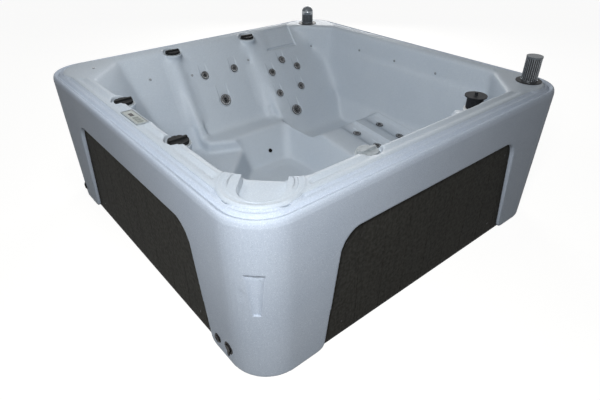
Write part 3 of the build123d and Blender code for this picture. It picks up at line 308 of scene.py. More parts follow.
def makeDustFilm():
    # a thin pale film, patchy, and strongest on faces that look up
    tree, given, out = newGroup(
        "dustFilm",
        [("Colour", (0.5, 0.5, 0.5)), ("Dust", (0.6, 0.6, 0.58)), ("Amount", 0.2), ("Roughness", 0.5)],
        [("Colour", "Color"), ("Roughness", "Float")])
    up = axesOf(tree, tree.nodes.new("ShaderNodeNewGeometry").outputs["Normal"])["Z"]
    patch = remap(tree, noise(tree, objectPlace(tree), *filmLook["noise"]), *filmLook["noiseSpan"])
    settled = remap(tree, up, *filmLook["upSpan"], *filmLook["upShare"])
    mask = times(tree, times(tree, settled, patch), given["Amount"])
    feed(tree, out["Colour"], mixColour(tree, mask, given["Colour"], given["Dust"]))
    rougher = mathNode(tree, "MULTIPLY_ADD", mask, filmLook["roughening"], given["Roughness"], clamp=True)
    feed(tree, out["Roughness"], rougher)
    return tree


def makeFineGrain():
    # the tiny pebbled surface of moulded plastic and cast metal
    tree, given, out = newGroup("fineGrain", [("Scale", 600.0), ("Softness", 0.5)],
                                [("Height", "Float"), ("Tone", "Float")])
    place = objectPlace(tree)
    pebble = cells(tree, place, given["Scale"])
    smearScale = times(tree, given["Scale"], pebbleLook["smearScale"])
    smear = noise(tree, place, smearScale, pebbleLook["smearDetail"])
    sharp = times(tree, pebble, minus(tree, 1.0, given["Softness"]))
    feed(tree, out["Height"], plus(tree, sharp, times(tree, smear, given["Softness"])))
    feed(tree, out["Tone"], smear)
    return tree


def makeBrushedMetal():
    # fine upright lines, and smudges that change the roughness
    tree, given, out = newGroup("brushedMetal", [("Scale", 300.0), ("Roughness", 0.25)],
                                [("Height", "Float"), ("Roughness", "Float"), ("Tone", "Float")])
    drawn = stretched(tree, objectPlace(tree), brushLook["stretch"])
    line = noise(tree, drawn, given["Scale"], brushLook["lineDetail"])
    smudge = noise(tree, objectPlace(tree), *brushLook["smudge"])
    uneven = brushLook["unevenness"]
    rough = mathNode(tree, "MULTIPLY_ADD", plus(tree, line, smudge), uneven,
                     minus(tree, given["Roughness"], uneven), clamp=True)
    feed(tree, out["Height"], line)
    feed(tree, out["Roughness"], rough)
    feed(tree, out["Tone"], smudge)
    return tree


graniteFlecks = makeGraniteFlecks()
edgeWear = makeEdgeWear()
dustFilm = makeDustFilm()
fineGrain = makeFineGrain()
brushedMetal = makeBrushedMetal()


# finishes that several pieces share

mouldings = {
    "shellAcrylic": {
        "base": (0.445, 0.505, 0.575), "pale": (0.62, 0.67, 0.70), "dark": (0.27, 0.31, 0.34),
        "size": 1.0, "amount": 0.55, "roughness": 0.46, "coat": 0.03, "gloss": 0.14, "grain": 0.00012,
    },
    "surroundSkin": {
        "base": (0.445, 0.512, 0.610), "pale": (0.66, 0.72, 0.80), "dark": (0.26, 0.31, 0.39),
        "size": 1.15, "amount": 0.7, "roughness": 0.56, "coat": 0.01, "gloss": 0.10, "grain": 0.0004,
    },
}
mouldingCoatRoughness = 0.18
mouldingFilm = {"Dust": (0.50, 0.52, 0.50), "Amount": 0.10}


def mouldedFinish(name):
    look = mouldings[name]
    material, tree, shader = newMaterial(name, specular=look["gloss"])
    shader["Coat Weight"].default_value = look["coat"]
    shader["Coat Roughness"].default_value = mouldingCoatRoughness
    flecks = useGroup(tree, graniteFlecks, Base=look["base"], Pale=look["pale"], Dark=look["dark"],
                      Size=look["size"], Amount=look["amount"])
    film = useGroup(tree, dustFilm, Colour=flecks["Colour"], Roughness=look["roughness"], **mouldingFilm)
    surface(tree, shader, film["Colour"], film["Roughness"], flecks["Height"], look["grain"])
    return material


boards = {
    "pitch": 0.167, "shift": -0.011,  # metres from joint to joint, and of one joint from the middle
    "base": (0.0205, 0.0200, 0.0175), "streak": (0.033, 0.032, 0.028), "dark": (0.012, 0.012, 0.0115),
    "roughness": 0.80, "gloss": 0.08, "bump": 0.0009,
    "grain": (170.0, 5.0, 0.65), "grainStretch": (1.0, 1.0, 0.035), "grainSpan": (0.40, 0.72),
    "wave": (26.0, 3.0, 0.6), "waveStretch": (1.0, 1.0, 0.12), "waveSpan": (0.45, 0.75), "waveMost": 0.6,
    "shadeMost": 0.35,
    "worn": {"Worn": (0.07, 0.07, 0.065), "Amount": 0.5},
    "film": {"Dust": (0.12, 0.12, 0.11), "Amount": 0.12},
}


def boardFinish(name, across):
    # charcoal boards: long vertical grain, each board a shade apart
    material, tree, shader = newMaterial(name, specular=boards["gloss"])
    place = objectPlace(tree)
    step = minus(tree, axesOf(tree, place)[across], boards["shift"])
    index = mathNode(tree, "FLOOR", mathNode(tree, "DIVIDE", step, boards["pitch"]))
    shade = addNode(tree, "ShaderNodeTexWhiteNoise", {"W": index}, noise_dimensions="1D").outputs["Value"]
    grain = noise(tree, stretched(tree, place, boards["grainStretch"]), *boards["grain"])
    wave = noise(tree, stretched(tree, place, boards["waveStretch"]), *boards["wave"])
    waveMask = remap(tree, wave, *boards["waveSpan"], 0.0, boards["waveMost"])
    shadeMask = remap(tree, shade, 0.0, 1.0, 0.0, boards["shadeMost"])
    tone = toned(tree, grain, boards["grainSpan"], boards["base"], boards["streak"])
    tone = mixColour(tree, waveMask, tone, boards["dark"])
    tone = mixColour(tree, shadeMask, tone, boards["dark"])
    worn = useGroup(tree, edgeWear, Colour=tone, **boards["worn"])
    film = useGroup(tree, dustFilm, Colour=worn["Colour"], Roughness=boards["roughness"], **boards["film"])
    surface(tree, shader, film["Colour"], film["Roughness"], plus(tree, grain, wave), boards["bump"])
    return material


plainLooks = {  # colour, second tone, roughness, metallic, pebble scale, pebble height, wear
    "knobGrey": ((0.005, 0.0055, 0.006), (0.012, 0.013, 0.014), 0.55, 0.0, 900.0, 0.00008, 0.5),
    "valvePlastic": ((0.25, 0.28, 0.30), (0.32, 0.35, 0.37), 0.35, 0.0, 700.0, 0.00006, 0.3),
    "blackFittings": ((0.006, 0.006, 0.007), (0.013, 0.013, 0.014), 0.42, 0.0, 800.0, 0.00008, 0.4),
    "skimmerPlastic": ((0.20, 0.225, 0.24), (0.26, 0.285, 0.30), 0.36, 0.0, 700.0, 0.00006, 0.3),
    "floatGrey": ((0.009, 0.010, 0.012), (0.020, 0.022, 0.025), 0.42, 0.0, 800.0, 0.00008, 0.6),
    "basePlastic": ((0.018, 0.018, 0.019), (0.030, 0.030, 0.031), 0.60, 0.0, 350.0, 0.0003, 0.3),
    "pumpPlastic": ((0.020, 0.021, 0.023), (0.034, 0.035, 0.037), 0.48, 0.0, 500.0, 0.00012, 0.3),
    "motorEnamel": ((0.060, 0.075, 0.095), (0.085, 0.10, 0.12), 0.35, 0.0, 420.0, 0.00012, 0.5),
    "pipePlastic": ((0.62, 0.63, 0.61), (0.70, 0.70, 0.68), 0.32, 0.0, 600.0, 0.00005, 0.2),
    "boxPlastic": ((0.10, 0.105, 0.11), (0.14, 0.145, 0.15), 0.45, 0.0, 500.0, 0.00012, 0.3),
    "buttonRubber": ((0.20, 0.22, 0.21), (0.26, 0.28, 0.27), 0.55, 0.0, 900.0, 0.00006, 0.2),
    "blackScrews": ((0.015, 0.015, 0.016), (0.045, 0.045, 0.046), 0.40, 0.6, 700.0, 0.00008, 0.8),
    "jetRing": ((0.016, 0.017, 0.019), (0.034, 0.036, 0.038), 0.45, 0.0, 900.0, 0.00006, 0.7),
}
plainShared = {
    "gloss": 0.06, "softness": 0.45,
    "wornGain": 2.2, "wornLift": 0.02, "wornMost": 0.9,  # the worn colour, from the colour
    "film": {"Dust": (0.30, 0.31, 0.31), "Amount": 0.03},
}


def plainFinish(name):
    colour, second, roughness, metallic, scale, height, wear = plainLooks[name]
    material, tree, shader = newMaterial(name, metallic, plainShared["gloss"])
    grain = useGroup(tree, fineGrain, Scale=scale, Softness=plainShared["softness"])
    tone = toned(tree, grain["Tone"], toneSpan, colour, second)
    paler = tuple(min(plainShared["wornMost"], part * plainShared["wornGain"] + plainShared["wornLift"])
                  for part in colour)
    worn = useGroup(tree, edgeWear, Colour=tone, Worn=paler, Amount=wear)
    film = useGroup(tree, dustFilm, Colour=worn["Colour"], Roughness=roughness, **plainShared["film"])
    surface(tree, shader, film["Colour"], film["Roughness"], grain["Height"], height)
    return material


steelLooks = {  # colour, roughness, line scale
    "rotorSteel": ((0.55, 0.56, 0.57), 0.32, 260.0),
    "heaterSteel": ((0.58, 0.58, 0.57), 0.28, 180.0),
}
steelShared = {"darker": 0.72, "bump": 0.00005, "worn": {"Worn": (0.75, 0.75, 0.75), "Amount": 0.5}}


def steelFinish(name):
    colour, roughness, scale = steelLooks[name]
    material, tree, shader = newMaterial(name, 1.0)
    brushed = useGroup(tree, brushedMetal, Scale=scale, Roughness=roughness)
    darker = tuple(part * steelShared["darker"] for part in colour)
    tone = toned(tree, brushed["Tone"], steelSpan, colour, darker)
    worn = useGroup(tree, edgeWear, Colour=tone, **steelShared["worn"])
    surface(tree, shader, worn["Colour"], brushed["Roughness"], brushed["Height"], steelShared["bump"])
    return material


print("finishes ready")


# soft copies of the two big mouldings; lengths are in metres

softness = {  # points closer than keepNear to a fitting stay, and those beyond freeFrom move freely
    "shell": {"voxel": 0.0058, "rounds": 45, "fewest": 4, "keepNear": 0.010, "freeFrom": 0.045},
    "surround": {"voxel": 0.0042, "rounds": 7, "fewest": 2, "keepNear": 0.004, "freeFrom": 0.020},
}
pace = 0.5  # the share of the way to its neighbours' middle that a point goes in one round
tiny = 1e-6


def readField(mesh, field):
    values = np.empty(len(mesh.vertices) * 3)
    mesh.vertices.foreach_get(field, values)
    return values.reshape(-1, 3)


def readPoints(mesh):
    return readField(mesh, "co")


def writePoints(mesh, points):
    mesh.vertices.foreach_set("co", points.ravel())
    mesh.update()


def eased(share):
    share = np.clip(share, 0.0, 1.0)
    return share * share * (3 - 2 * share)


def rising(value, start, length):
    return eased((value - start) / length)


def falling(value, end, length):
    return eased((end - value) / length)


def bell(offset, width):
    return np.exp(-(offset / width) ** 2)


def bands(distance, shapes):
    return sum(height * bell(distance - middle, width) for middle, height, width in shapes)


def between(value, span):
    return (value > span[0]) & (value < span[1])


def squareGap(x, y, half, radius):
    # distance outside a square with round corners
    overX, overY = x - half + radius, y - half + radius
    outside = np.hypot(np.maximum(overX, 0), np.maximum(overY, 0))
    return outside + np.minimum(np.maximum(overX, overY), 0) - radius


def voxelCopy(node, name, voxel):
    mesh = nodes[node].data.copy()
    bm = bmesh.new()
    bm.from_mesh(mesh)
    bmesh.ops.remove_doubles(bm, verts=bm.verts, dist=tiny)
    bm.to_mesh(mesh)
    bm.free()
    piece = bpy.data.objects.new(name, mesh)
    bpy.context.scene.collection.objects.link(piece)
    remesh = piece.modifiers.new("voxels", "REMESH")
    remesh.mode, remesh.voxel_size = "VOXEL", voxel
    graph = bpy.context.evaluated_depsgraph_get()
    piece.data = bpy.data.meshes.new_from_object(piece.evaluated_get(graph))
    piece.modifiers.clear()
    piece.data.name = name
    return piece


def nearWeights(points, fittings, keepNear, freeFrom):
    # 0 beside a fitting, 1 well away from it
    places = np.concatenate([readPoints(nodes[name].data) for name in fittings])
    places = np.unique(np.round(places, 3), axis=0)
    tree = KDTree(len(places))
    for index, place in enumerate(places):
        tree.insert(place, index)
    tree.balance()
    gaps = np.array([tree.find(point)[2] for point in points])
    return eased((gaps - keepNear) / (freeFrom - keepNear))


def softCopy(node, name, fittings):
    # the copy, its points, how freely each may move, and the rounds of smoothing
    soft = softness[node]
    voxel = soft["voxel"]
    piece = voxelCopy(node, name, voxel)
    points = readPoints(piece.data)
    weights = nearWeights(points, fittings, soft["keepNear"], soft["freeFrom"])
    rounds = max(soft["fewest"], int(soft["rounds"] * (soft["voxel"] / voxel) ** 2))
    return piece, points, weights, rounds


def relaxed(mesh, points, weights, rounds):
    # each round moves a point toward the middle of its neighbours, by its weight
    ends = np.empty(len(mesh.edges) * 2, dtype=np.int64)
    mesh.edges.foreach_get("vertices", ends)
    pairs = ends.reshape(-1, 2)
    ends = pairs[(weights[pairs] > 0).any(axis=1)].ravel()
    first, second = ends[0::2], ends[1::2]
    count = np.maximum(np.bincount(ends, minlength=len(points)), 1)
    for _ in range(rounds):
        sums = [np.bincount(first, points[second, axis], len(points))
                + np.bincount(second, points[first, axis], len(points)) for axis in range(3)]
        points = points + (np.stack(sums, axis=1) / count[:, None] - points) * weights[:, None]
    return points


def refined(mesh, chosen, cuts, weights):
    # finer faces where every corner is chosen; returns the new points and weights
    mesh.attributes.new("free", "FLOAT", "POINT").data.foreach_set("value", weights)
    bm = bmesh.new()
    bm.from_mesh(mesh)
    edges = [edge for edge in bm.edges if chosen[edge.verts[0].index] and chosen[edge.verts[1].index]]
    bmesh.ops.subdivide_edges(bm, edges=edges, cuts=cuts, use_grid_fill=True)
    bm.to_mesh(mesh)
    bm.free()
    weights = np.empty(len(mesh.vertices))
    mesh.attributes["free"].data.foreach_get("value", weights)
    mesh.attributes.remove(mesh.attributes["free"])
    return readPoints(mesh), weights


def finishSoft(piece, node, material):
    mesh = piece.data
    mesh.polygons.foreach_set("use_smooth", np.ones(len(mesh.polygons), dtype=bool))
    mesh.materials.clear()
    mesh.materials.append(material)
    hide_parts(node)
    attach(piece, "tub")


# the rim, on both mouldings

rimShape = {  # each band is a distance, a height and a width
    "basinHalf": 0.945, "cutSum": 1.655, "drumCentre": 0.870, "drumRadius": 0.175,
    "deckHalf": 1.030, "edgeHalf": 1.0995, "edgeRadius": 0.205, "rim": 0.835, "edgeRound": 0.032,
    "fromBasin": [(0.021, 0.0045, 0.008), (0.046, -0.0060, 0.011)], "drumFade": 0.02,
    "onDrum": [(0.012, 0.0035, 0.007), (0.030, -0.0015, 0.008)], "nearSum": -1.55,
    # the outer moulding's height by its distance in from the edge: crest, groove, crest, cove
    "profile": [
        (0.000, 0.8040), (0.003, 0.8180), (0.007, 0.8262), (0.012, 0.8300), (0.016, 0.8300), (0.022, 0.8266),
        (0.030, 0.8226), (0.034, 0.8236), (0.039, 0.8285), (0.044, 0.8330), (0.049, 0.8345), (0.056, 0.8332),
        (0.060, 0.8330), (0.064, 0.8350), (0.068, 0.8400), (0.071, 0.8440),
    ],
    "innerFrom": 0.050, "deckOverlap": 0.005,  # from innerFrom on, the profile follows the deck's outline
    "notches": ((-1.030, -0.885), (-0.885, -1.050)), "notchRadius": 0.045, "notchFrom": 0.055,
}


def rimDistances(points):
    x, y = np.abs(points[:, 0]), np.abs(points[:, 1])
    fromBasin = np.maximum.reduce([x - rimShape["basinHalf"], y - rimShape["basinHalf"],
                                   (x + y - rimShape["cutSum"]) / diagonal])
    ring = np.hypot(x - rimShape["drumCentre"], y - rimShape["drumCentre"]) - rimShape["drumRadius"]
    deck = np.minimum(squareGap(x, y, rimShape["deckHalf"], rimShape["drumRadius"]), ring)
    edge = -squareGap(x, y, rimShape["edgeHalf"], rimShape["edgeRadius"])
    return fromBasin, ring, deck, edge


def deckRise(points):
    # a bead and a dip beside the basin, and a raised lip on the near drum
    fromBasin, ring, _, _ = rimDistances(points)
    onDrum = ring < 0.0
    nearDrum = onDrum & (points[:, 0] + points[:, 1] < rimShape["nearSum"])
    bead = bands(fromBasin, rimShape["fromBasin"]) * rising(ring, 0.0, rimShape["drumFade"])
    return np.where(onDrum, np.where(nearDrum, bands(-ring, rimShape["onDrum"]), 0.0), bead)


def ledgeRise(points):
    # from the plain round-over to the crest, groove and cove; the step stays open at the notches
    _, _, deck, edge = rimDistances(points)
    away, height = zip(*rimShape["profile"])
    edgeRound = rimShape["edgeRound"]
    over = np.clip(edgeRound - edge, 0.0, edgeRound)
    plain = rimShape["rim"] - edgeRound + np.sqrt(edgeRound ** 2 - over ** 2)
    along = np.where(edge < rimShape["innerFrom"], edge, np.maximum(edge, away[-1] - np.maximum(deck, 0.0)))
    rise = np.interp(along, away, height) - plain
    for x, y in rimShape["notches"]:
        share = eased(np.hypot(points[:, 0] - x, points[:, 1] - y) / rimShape["notchRadius"])
        rise = np.where(along > rimShape["notchFrom"], rise * share, rise)
    return np.where(deck > -rimShape["deckOverlap"], rise, 0.0)


# the shell's own shapes

ridges = {  # where the walls are softest: beside the rear seat and the lounge's bolster; a place and a fade
    "x": (0.293, -0.316), "bolsterX": 0.74, "aside": (0.10, 0.03),
    "fromY": (0.33, 0.05), "fromZ": (0.36, 0.05), "toZ": (0.80, 0.03), "within": 1.0, "moreRounds": 4,
}


def ridgeArea(points):
    x, y, z = points.T
    asides = [np.abs(x - middle) for middle in ridges["x"]]
    aside = np.minimum.reduce([*asides, np.maximum(ridges["bolsterX"] - x, 0.0)])
    share = falling(aside, *ridges["aside"]) * rising(y, *ridges["fromY"])
    share = share * rising(z, *ridges["fromZ"]) * falling(z, *ridges["toZ"])
    return share * (np.maximum(np.abs(x), np.abs(y)) < ridges["within"])


drinksRecess = {  # each circle is x, y and radius
    "was": (-0.870, -0.870, 0.140), "now": (-0.898, -0.908, 0.090), "top": 0.8447, "floor": 0.803,
    "floorSlack": 0.003, "wall": 0.0012, "reach": 0.30, "edgeFade": 0.010,
    "fineSum": -1.60, "fineFrom": 0.785,
}


def shrinkRecess(points):
    # the drinks recess drawn in to a smaller circle
    wasX, wasY, wasRadius = drinksRecess["was"]
    nowX, nowY, nowRadius = drinksRecess["now"]
    top, floor, wall = drinksRecess["top"], drinksRecess["floor"], drinksRecess["wall"]
    inside = np.hypot(points[:, 0] - wasX, points[:, 1] - wasY) < wasRadius
    inside &= points[:, 2] > floor - drinksRecess["floorSlack"]
    outX, outY = points[:, 0] - nowX, points[:, 1] - nowY
    toBasin, aside = (outX + outY) / diagonal, np.abs(outX - outY) / diagonal
    away = np.maximum(np.where(toBasin > 0.0, aside, np.hypot(outX, outY)), tiny)
    inside &= toBasin < drinksRecess["reach"]
    for middle in (nowRadius - wall, nowRadius + wall):
        close = inside & (np.abs(away - middle) <= wall) & (toBasin <= 0.0)
        points[close, 0] = nowX + outX[close] / away[close] * middle
        points[close, 1] = nowY + outY[close] / away[close] * middle
    # toward the basin the raised floor rounds off
    rise = eased(rimDistances(points)[0] / drinksRecess["edgeFade"]) * (top - floor)
    raised = np.maximum(points[:, 2], floor + rise)
    points[:, 2] = np.where(inside & (away > nowRadius), raised, points[:, 2])


jetRecess = {  # moat and trail are in shares of the rim's radius, and end with a depth
    "large": 0.040, "small": 0.027, "moat": (1.32, 0.0060), "trail": (1.12, 3.0, 0.0080), "edge": 0.12,
    "basinMiddle": (0.0, 0.0, 0.75), "facing": 0.3, "skins": 0.03, "search": 4.0, "fine": 3.2,
}
jetNames = [name for name in nodes if name.startswith("jet_") and "housings" not in name]


def jetRadius(name):
    return jetRecess["large"] if "large" in name or name.endswith("_seat") else jetRecess["small"]


def carveJets(points, normals):
    # each jet sits in a shallow moat whose trail fades up the wall
    moatOut, moatDepth = jetRecess["moat"]
    trailWide, trailLong, trailDepth = jetRecess["trail"]
    for name in jetNames:
        ring = readPoints(nodes[name].data)
        centre, radius = ring.mean(axis=0), jetRadius(name)
        facing = np.linalg.svd(ring - centre, full_matrices=False)[2][2]
        facing *= np.sign(facing @ (np.array(jetRecess["basinMiddle"]) - centre))
        close = np.abs(points - centre).max(axis=1) < jetRecess["search"] * radius
        close = np.flatnonzero(close & (np.abs(normals @ facing) > jetRecess["facing"]))
        offset = points[close] - centre
        depth = offset @ facing
        flat = offset - depth[:, None] * facing
        up = np.array((0.0, 0.0, 1.0)) - facing[2] * facing
        up /= np.linalg.norm(up)
        along, across = flat @ up, np.abs(flat @ np.cross(up, facing))
        edge = jetRecess["edge"] * radius
        moat = moatDepth * falling(np.hypot(along, across), moatOut * radius, edge)
        fade = np.clip(1 - along / (trailLong * radius), 0, 1)
        trail = trailDepth * falling(across, trailWide * radius, edge) * fade
        trail = np.where(along > 0, trail, 0.0)
        cut = np.where(np.abs(depth) < jetRecess["skins"], np.maximum(moat, trail), 0.0)
        points[close] -= cut[:, None] * facing


pillowRecess = {
    "x": (0.385, 0.700), "z": (0.712, 0.860), "fromY": 0.70, "facing": 0.4, "depth": 0.013,
    "leftFade": 0.11, "topFade": 0.03, "edge": 0.005,
    "slotDepth": 0.010, "slotUp": 0.006, "slotWidth": 0.0065, "slotFade": (0.02, 0.04),
    "fineX": (0.37, 0.72), "fineFrom": (0.70, 0.69),
}


def carvePillow(points, normals):
    # the head rest's recess in the lounge's back, with a slot along its bottom
    x, z = points[:, 0], points[:, 2]
    lowX, highX = pillowRecess["x"]
    lowZ, highZ = pillowRecess["z"]
    edge = pillowRecess["edge"]
    inward = (points[:, 1] > pillowRecess["fromY"]) & (np.abs(normals[:, 1]) > pillowRecess["facing"])
    share = rising(x, lowX, pillowRecess["leftFade"]) * falling(x, highX, edge)
    share = share * rising(z, lowZ, edge) * falling(z, highZ, pillowRecess["topFade"])
    slot = bell(z - lowZ - pillowRecess["slotUp"], pillowRecess["slotWidth"])
    slot = slot * rising(x - lowX, *pillowRecess["slotFade"]) * falling(x, highX, edge)
    move = share * pillowRecess["depth"] + slot * pillowRecess["slotDepth"]
    points[:, 1] += np.where(inward, move, 0.0)


calfLips = {
    "x": (0.640, 0.874), "y": (-0.32, 0.14), "z": (0.2, 0.42), "height": 0.016, "width": 0.0085,
    "endFade": 0.06, "facing": 0.3, "fineAside": 0.03, "fineY": (-0.33, 0.18),
}


def raiseCalfLips(points, normals):
    # a thin lip along the right side of each leg channel
    lowY, highY = calfLips["y"]
    ends = rising(points[:, 1], lowY, calfLips["endFade"]) * falling(points[:, 1], highY, calfLips["endFade"])
    top = (normals[:, 2] > calfLips["facing"]) & between(points[:, 2], calfLips["z"])
    lips = sum(bell(points[:, 0] - x, calfLips["width"]) for x in calfLips["x"])
    points[:, 2] += np.where(top, lips * ends * calfLips["height"], 0.0)


def fineShellArea(points):
    # round the drinks recess, the head rest's recess, the leg channels' lips and the jets
    x, y, z = points.T
    chosen = (x + y < drinksRecess["fineSum"]) & (z > drinksRecess["fineFrom"])
    pillowY, pillowZ = pillowRecess["fineFrom"]
    chosen |= between(x, pillowRecess["fineX"]) & (y > pillowY) & (z > pillowZ)
    lengthwise = between(y, calfLips["fineY"]) & between(z, calfLips["z"])
    for lip in calfLips["x"]:
        chosen |= (np.abs(x - lip) < calfLips["fineAside"]) & lengthwise
    for name in jetNames:
        centre = readPoints(nodes[name].data).mean(axis=0)
        chosen |= np.abs(points - centre).max(axis=1) < jetRecess["fine"] * jetRadius(name)
    return chosen


shellShape = {
    "fittings": ("jet_", "diverter_", "air_", "light_", "speaker_bezels", "skimmer_float", "skimmer_housing",
                 "control_", "wall_ports"),
    "borderFrom": 0.985, "borderAbove": 0.70, "borderShare": 0.25,  # the deck's border moves less
    "cuts": 2, "deckFrom": 0.836, "deckFade": 0.006, "fittingShare": 4.0,
}


def makeShell():
    fittings = [name for name in nodes if name.startswith(shellShape["fittings"])]
    piece, points, weights, rounds = softCopy("shell", "shellMoulding", fittings)
    outside = np.maximum(np.abs(points[:, 0]), np.abs(points[:, 1]))
    border = (outside > shellShape["borderFrom"]) & (points[:, 2] > shellShape["borderAbove"])
    weights *= np.where(border, shellShape["borderShare"], 1.0)
    points = relaxed(piece.data, points, pace * weights, rounds)
    points = relaxed(piece.data, points, pace * weights * ridgeArea(points), ridges["moreRounds"] * rounds)
    writePoints(piece.data, points)
    points, weights = refined(piece.data, fineShellArea(points), shellShape["cuts"], weights)
    normals = readField(piece.data, "normal")
    shrinkRecess(points)
    top = np.clip((points[:, 2] - shellShape["deckFrom"]) / shellShape["deckFade"], 0.0, 1.0)
    points[:, 2] += deckRise(points) * top * np.clip(weights * shellShape["fittingShare"], 0.0, 1.0)
    carveJets(points, normals)
    carvePillow(points, normals)
    raiseCalfLips(points, normals)
    writePoints(piece.data, points)
    finishSoft(piece, "shell", mouldedFinish("shellAcrylic"))
    print("shell moulding:", len(points), "points")


# the surround's own shapes

fingerGrip = {  # half widths and depths are at the bottom and at the top
    "z": (0.378, 0.585), "half": (0.022, 0.043), "depth": (0.015, 0.026), "undercut": (0.014, 0.030),
    "skin": 0.006, "centre": 0.895, "radius": 0.2045, "widest": 0.1, "inward": -0.2, "bowl": 2.2,
    "searchFrom": 1.34, "edgeFrom": 1.40, "edgeShare": 0.96, "edgeBand": 0.0011, "edgeGap": 0.0003,
}


def carveGrips(points, normals):
    # a tapered scoop on each corner, undercut along its top
    lowZ, highZ = fingerGrip["z"]
    bottomHalf, topHalf = fingerGrip["half"]
    bottomDepth, topDepth = fingerGrip["depth"]
    reach, extra = fingerGrip["undercut"]
    x, y, z = np.abs(points[:, 0]), np.abs(points[:, 1]), points[:, 2]
    signX, signY = np.sign(points[:, 0]), np.sign(points[:, 1])
    out, aside = (x + y) / diagonal, np.abs(x - y) / diagonal
    up = np.clip((z - lowZ) / (highZ - lowZ), 0.0, 1.0)
    half = bottomHalf + up * (topHalf - bottomHalf)
    depth = bottomDepth + up * (topDepth - bottomDepth)
    depth += extra * bell(highZ - z, reach)
    skin = fingerGrip["centre"] * diagonal
    skin = skin + np.sqrt(fingerGrip["radius"] ** 2 - np.minimum(aside, fingerGrip["widest"]) ** 2)
    facing = (normals[:, 0] * signX + normals[:, 1] * signY) / diagonal
    back = np.where(facing > fingerGrip["inward"], 0.0, fingerGrip["skin"])  # the inner side goes back too
    bowl = np.clip(1.0 - (aside / (half + back)) ** fingerGrip["bowl"], 0.0, 1.0)
    target = skin - depth * bowl - back
    chosen = between(z, (lowZ - back, highZ + back)) & (aside < half + back)
    chosen &= out > fingerGrip["searchFrom"]
    move = np.where(chosen & (out > target), (target - out) / diagonal, 0.0)
    points[:, 0] += move * signX
    points[:, 1] += move * signY
    gap = fingerGrip["edgeGap"]
    for edge in (lowZ, highZ):
        close = (np.abs(z - edge) < fingerGrip["edgeBand"]) & (aside < half * fingerGrip["edgeShare"])
        close &= out > fingerGrip["edgeFrom"]
        points[close, 2] = edge + np.where(z[close] > edge, gap, -gap)


surroundShape = {
    "fittings": ("drain_valve", "cable_gland", "vent_cap", "speaker_bezels"),
    "cornerSum": 2.0, "gripZ": (0.36, 0.60), "gripShare": 0.15,  # the corners move less round the grips
    "cuts": 1, "fineAbove": 0.795, "ledge": (0.798, 0.012),
}


def makeSurround():
    fittings = [name for name in nodes if name in surroundShape["fittings"]]
    piece, points, weights, rounds = softCopy("surround", "surroundMoulding", fittings)
    corner = np.abs(points[:, 0]) + np.abs(points[:, 1]) > surroundShape["cornerSum"]
    weights[corner & between(points[:, 2], surroundShape["gripZ"])] *= surroundShape["gripShare"]
    points = relaxed(piece.data, points, pace * weights, rounds)
    writePoints(piece.data, points)
    fine = corner & between(points[:, 2], surroundShape["gripZ"])
    fine |= points[:, 2] > surroundShape["fineAbove"]
    points, weights = refined(piece.data, fine, surroundShape["cuts"], weights)
    carveGrips(points, readField(piece.data, "normal"))
    top = rising(points[:, 2], *surroundShape["ledge"])
    points[:, 2] += ledgeRise(points) * top
    writePoints(piece.data, points)
    finishSoft(piece, "surround", mouldedFinish("surroundSkin"))
    print("surround moulding:", len(points), "points")


makeShell()
makeSurround()


# finishes of single pieces

jetFace = {  # distances are shares of the face's radius
    "nozzle": (0.31, 0.06), "ring": (0.63, 0.05), "boxToFace": 1.12,
    "grey": (0.085, 0.092, 0.10), "dark": (0.008, 0.009, 0.011), "steel": (0.42, 0.44, 0.46), "darker": 0.7,
    "brushed": {"Scale": 500.0, "Roughness": 0.34}, "metal": 0.55, "bump": 0.00005,
    "worn": {"Worn": (0.5, 0.51, 0.52), "Amount": 0.5},
}


def jetFaceFinish(name):
    # a grey nozzle in a dark cup with a thin steel ring round it
    low, high = (Vector(corner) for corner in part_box(name))
    centre, reach = (low + high) / 2, (high - low).length / 2 / jetFace["boxToFace"]
    material, tree, shader = newMaterial(name + "Face")
    out = addNode(tree, "ShaderNodeVectorMath", {0: objectPlace(tree), 1: tuple(centre)},
                  operation="DISTANCE").outputs["Value"]
    nozzleFrom, nozzleFade = jetFace["nozzle"]
    ringFrom, ringFade = jetFace["ring"]
    cup = remap(tree, out, reach * nozzleFrom, reach * (nozzleFrom + nozzleFade), smooth=True)
    ring = remap(tree, out, reach * ringFrom, reach * (ringFrom + ringFade), smooth=True)
    brushed = useGroup(tree, brushedMetal, **jetFace["brushed"])
    darker = tuple(part * jetFace["darker"] for part in jetFace["steel"])
    steel = toned(tree, brushed["Tone"], steelSpan, jetFace["steel"], darker)
    tone = mixColour(tree, ring, mixColour(tree, cup, jetFace["grey"], jetFace["dark"]), steel)
    worn = useGroup(tree, edgeWear, Colour=tone, **jetFace["worn"])
    feed(tree, shader["Metallic"], times(tree, ring, jetFace["metal"]))
    surface(tree, shader, worn["Colour"], brushed["Roughness"], brushed["Height"], jetFace["bump"])
    return material


lens = {"colours": ((0.16, 0.18, 0.20), (0.34, 0.37, 0.39)), "roughness": 0.12, "coat": 0.8, "bump": 0.0001,
        "grain": {"Scale": 700.0, "Softness": 0.4}}


def lensFinish():
    material, tree, shader = newMaterial("lightLens")
    grain = useGroup(tree, fineGrain, **lens["grain"])
    tone = toned(tree, grain["Tone"], toneSpan, *lens["colours"])
    shader["Coat Weight"].default_value = lens["coat"]
    surface(tree, shader, tone, lens["roughness"], grain["Height"], lens["bump"])
    return material


timber = {"colours": ((0.36, 0.25, 0.145), (0.52, 0.40, 0.25)), "ringColour": (0.30, 0.20, 0.11),
          "stretch": (0.25, 0.25, 0.05), "grain": (240.0, 5.0, 0.6), "ring": (7.0, 3.0),
          "ringSpan": (0.4, 0.7), "ringMost": 0.6, "roughness": 0.7, "film": 0.15, "bump": 0.0004}


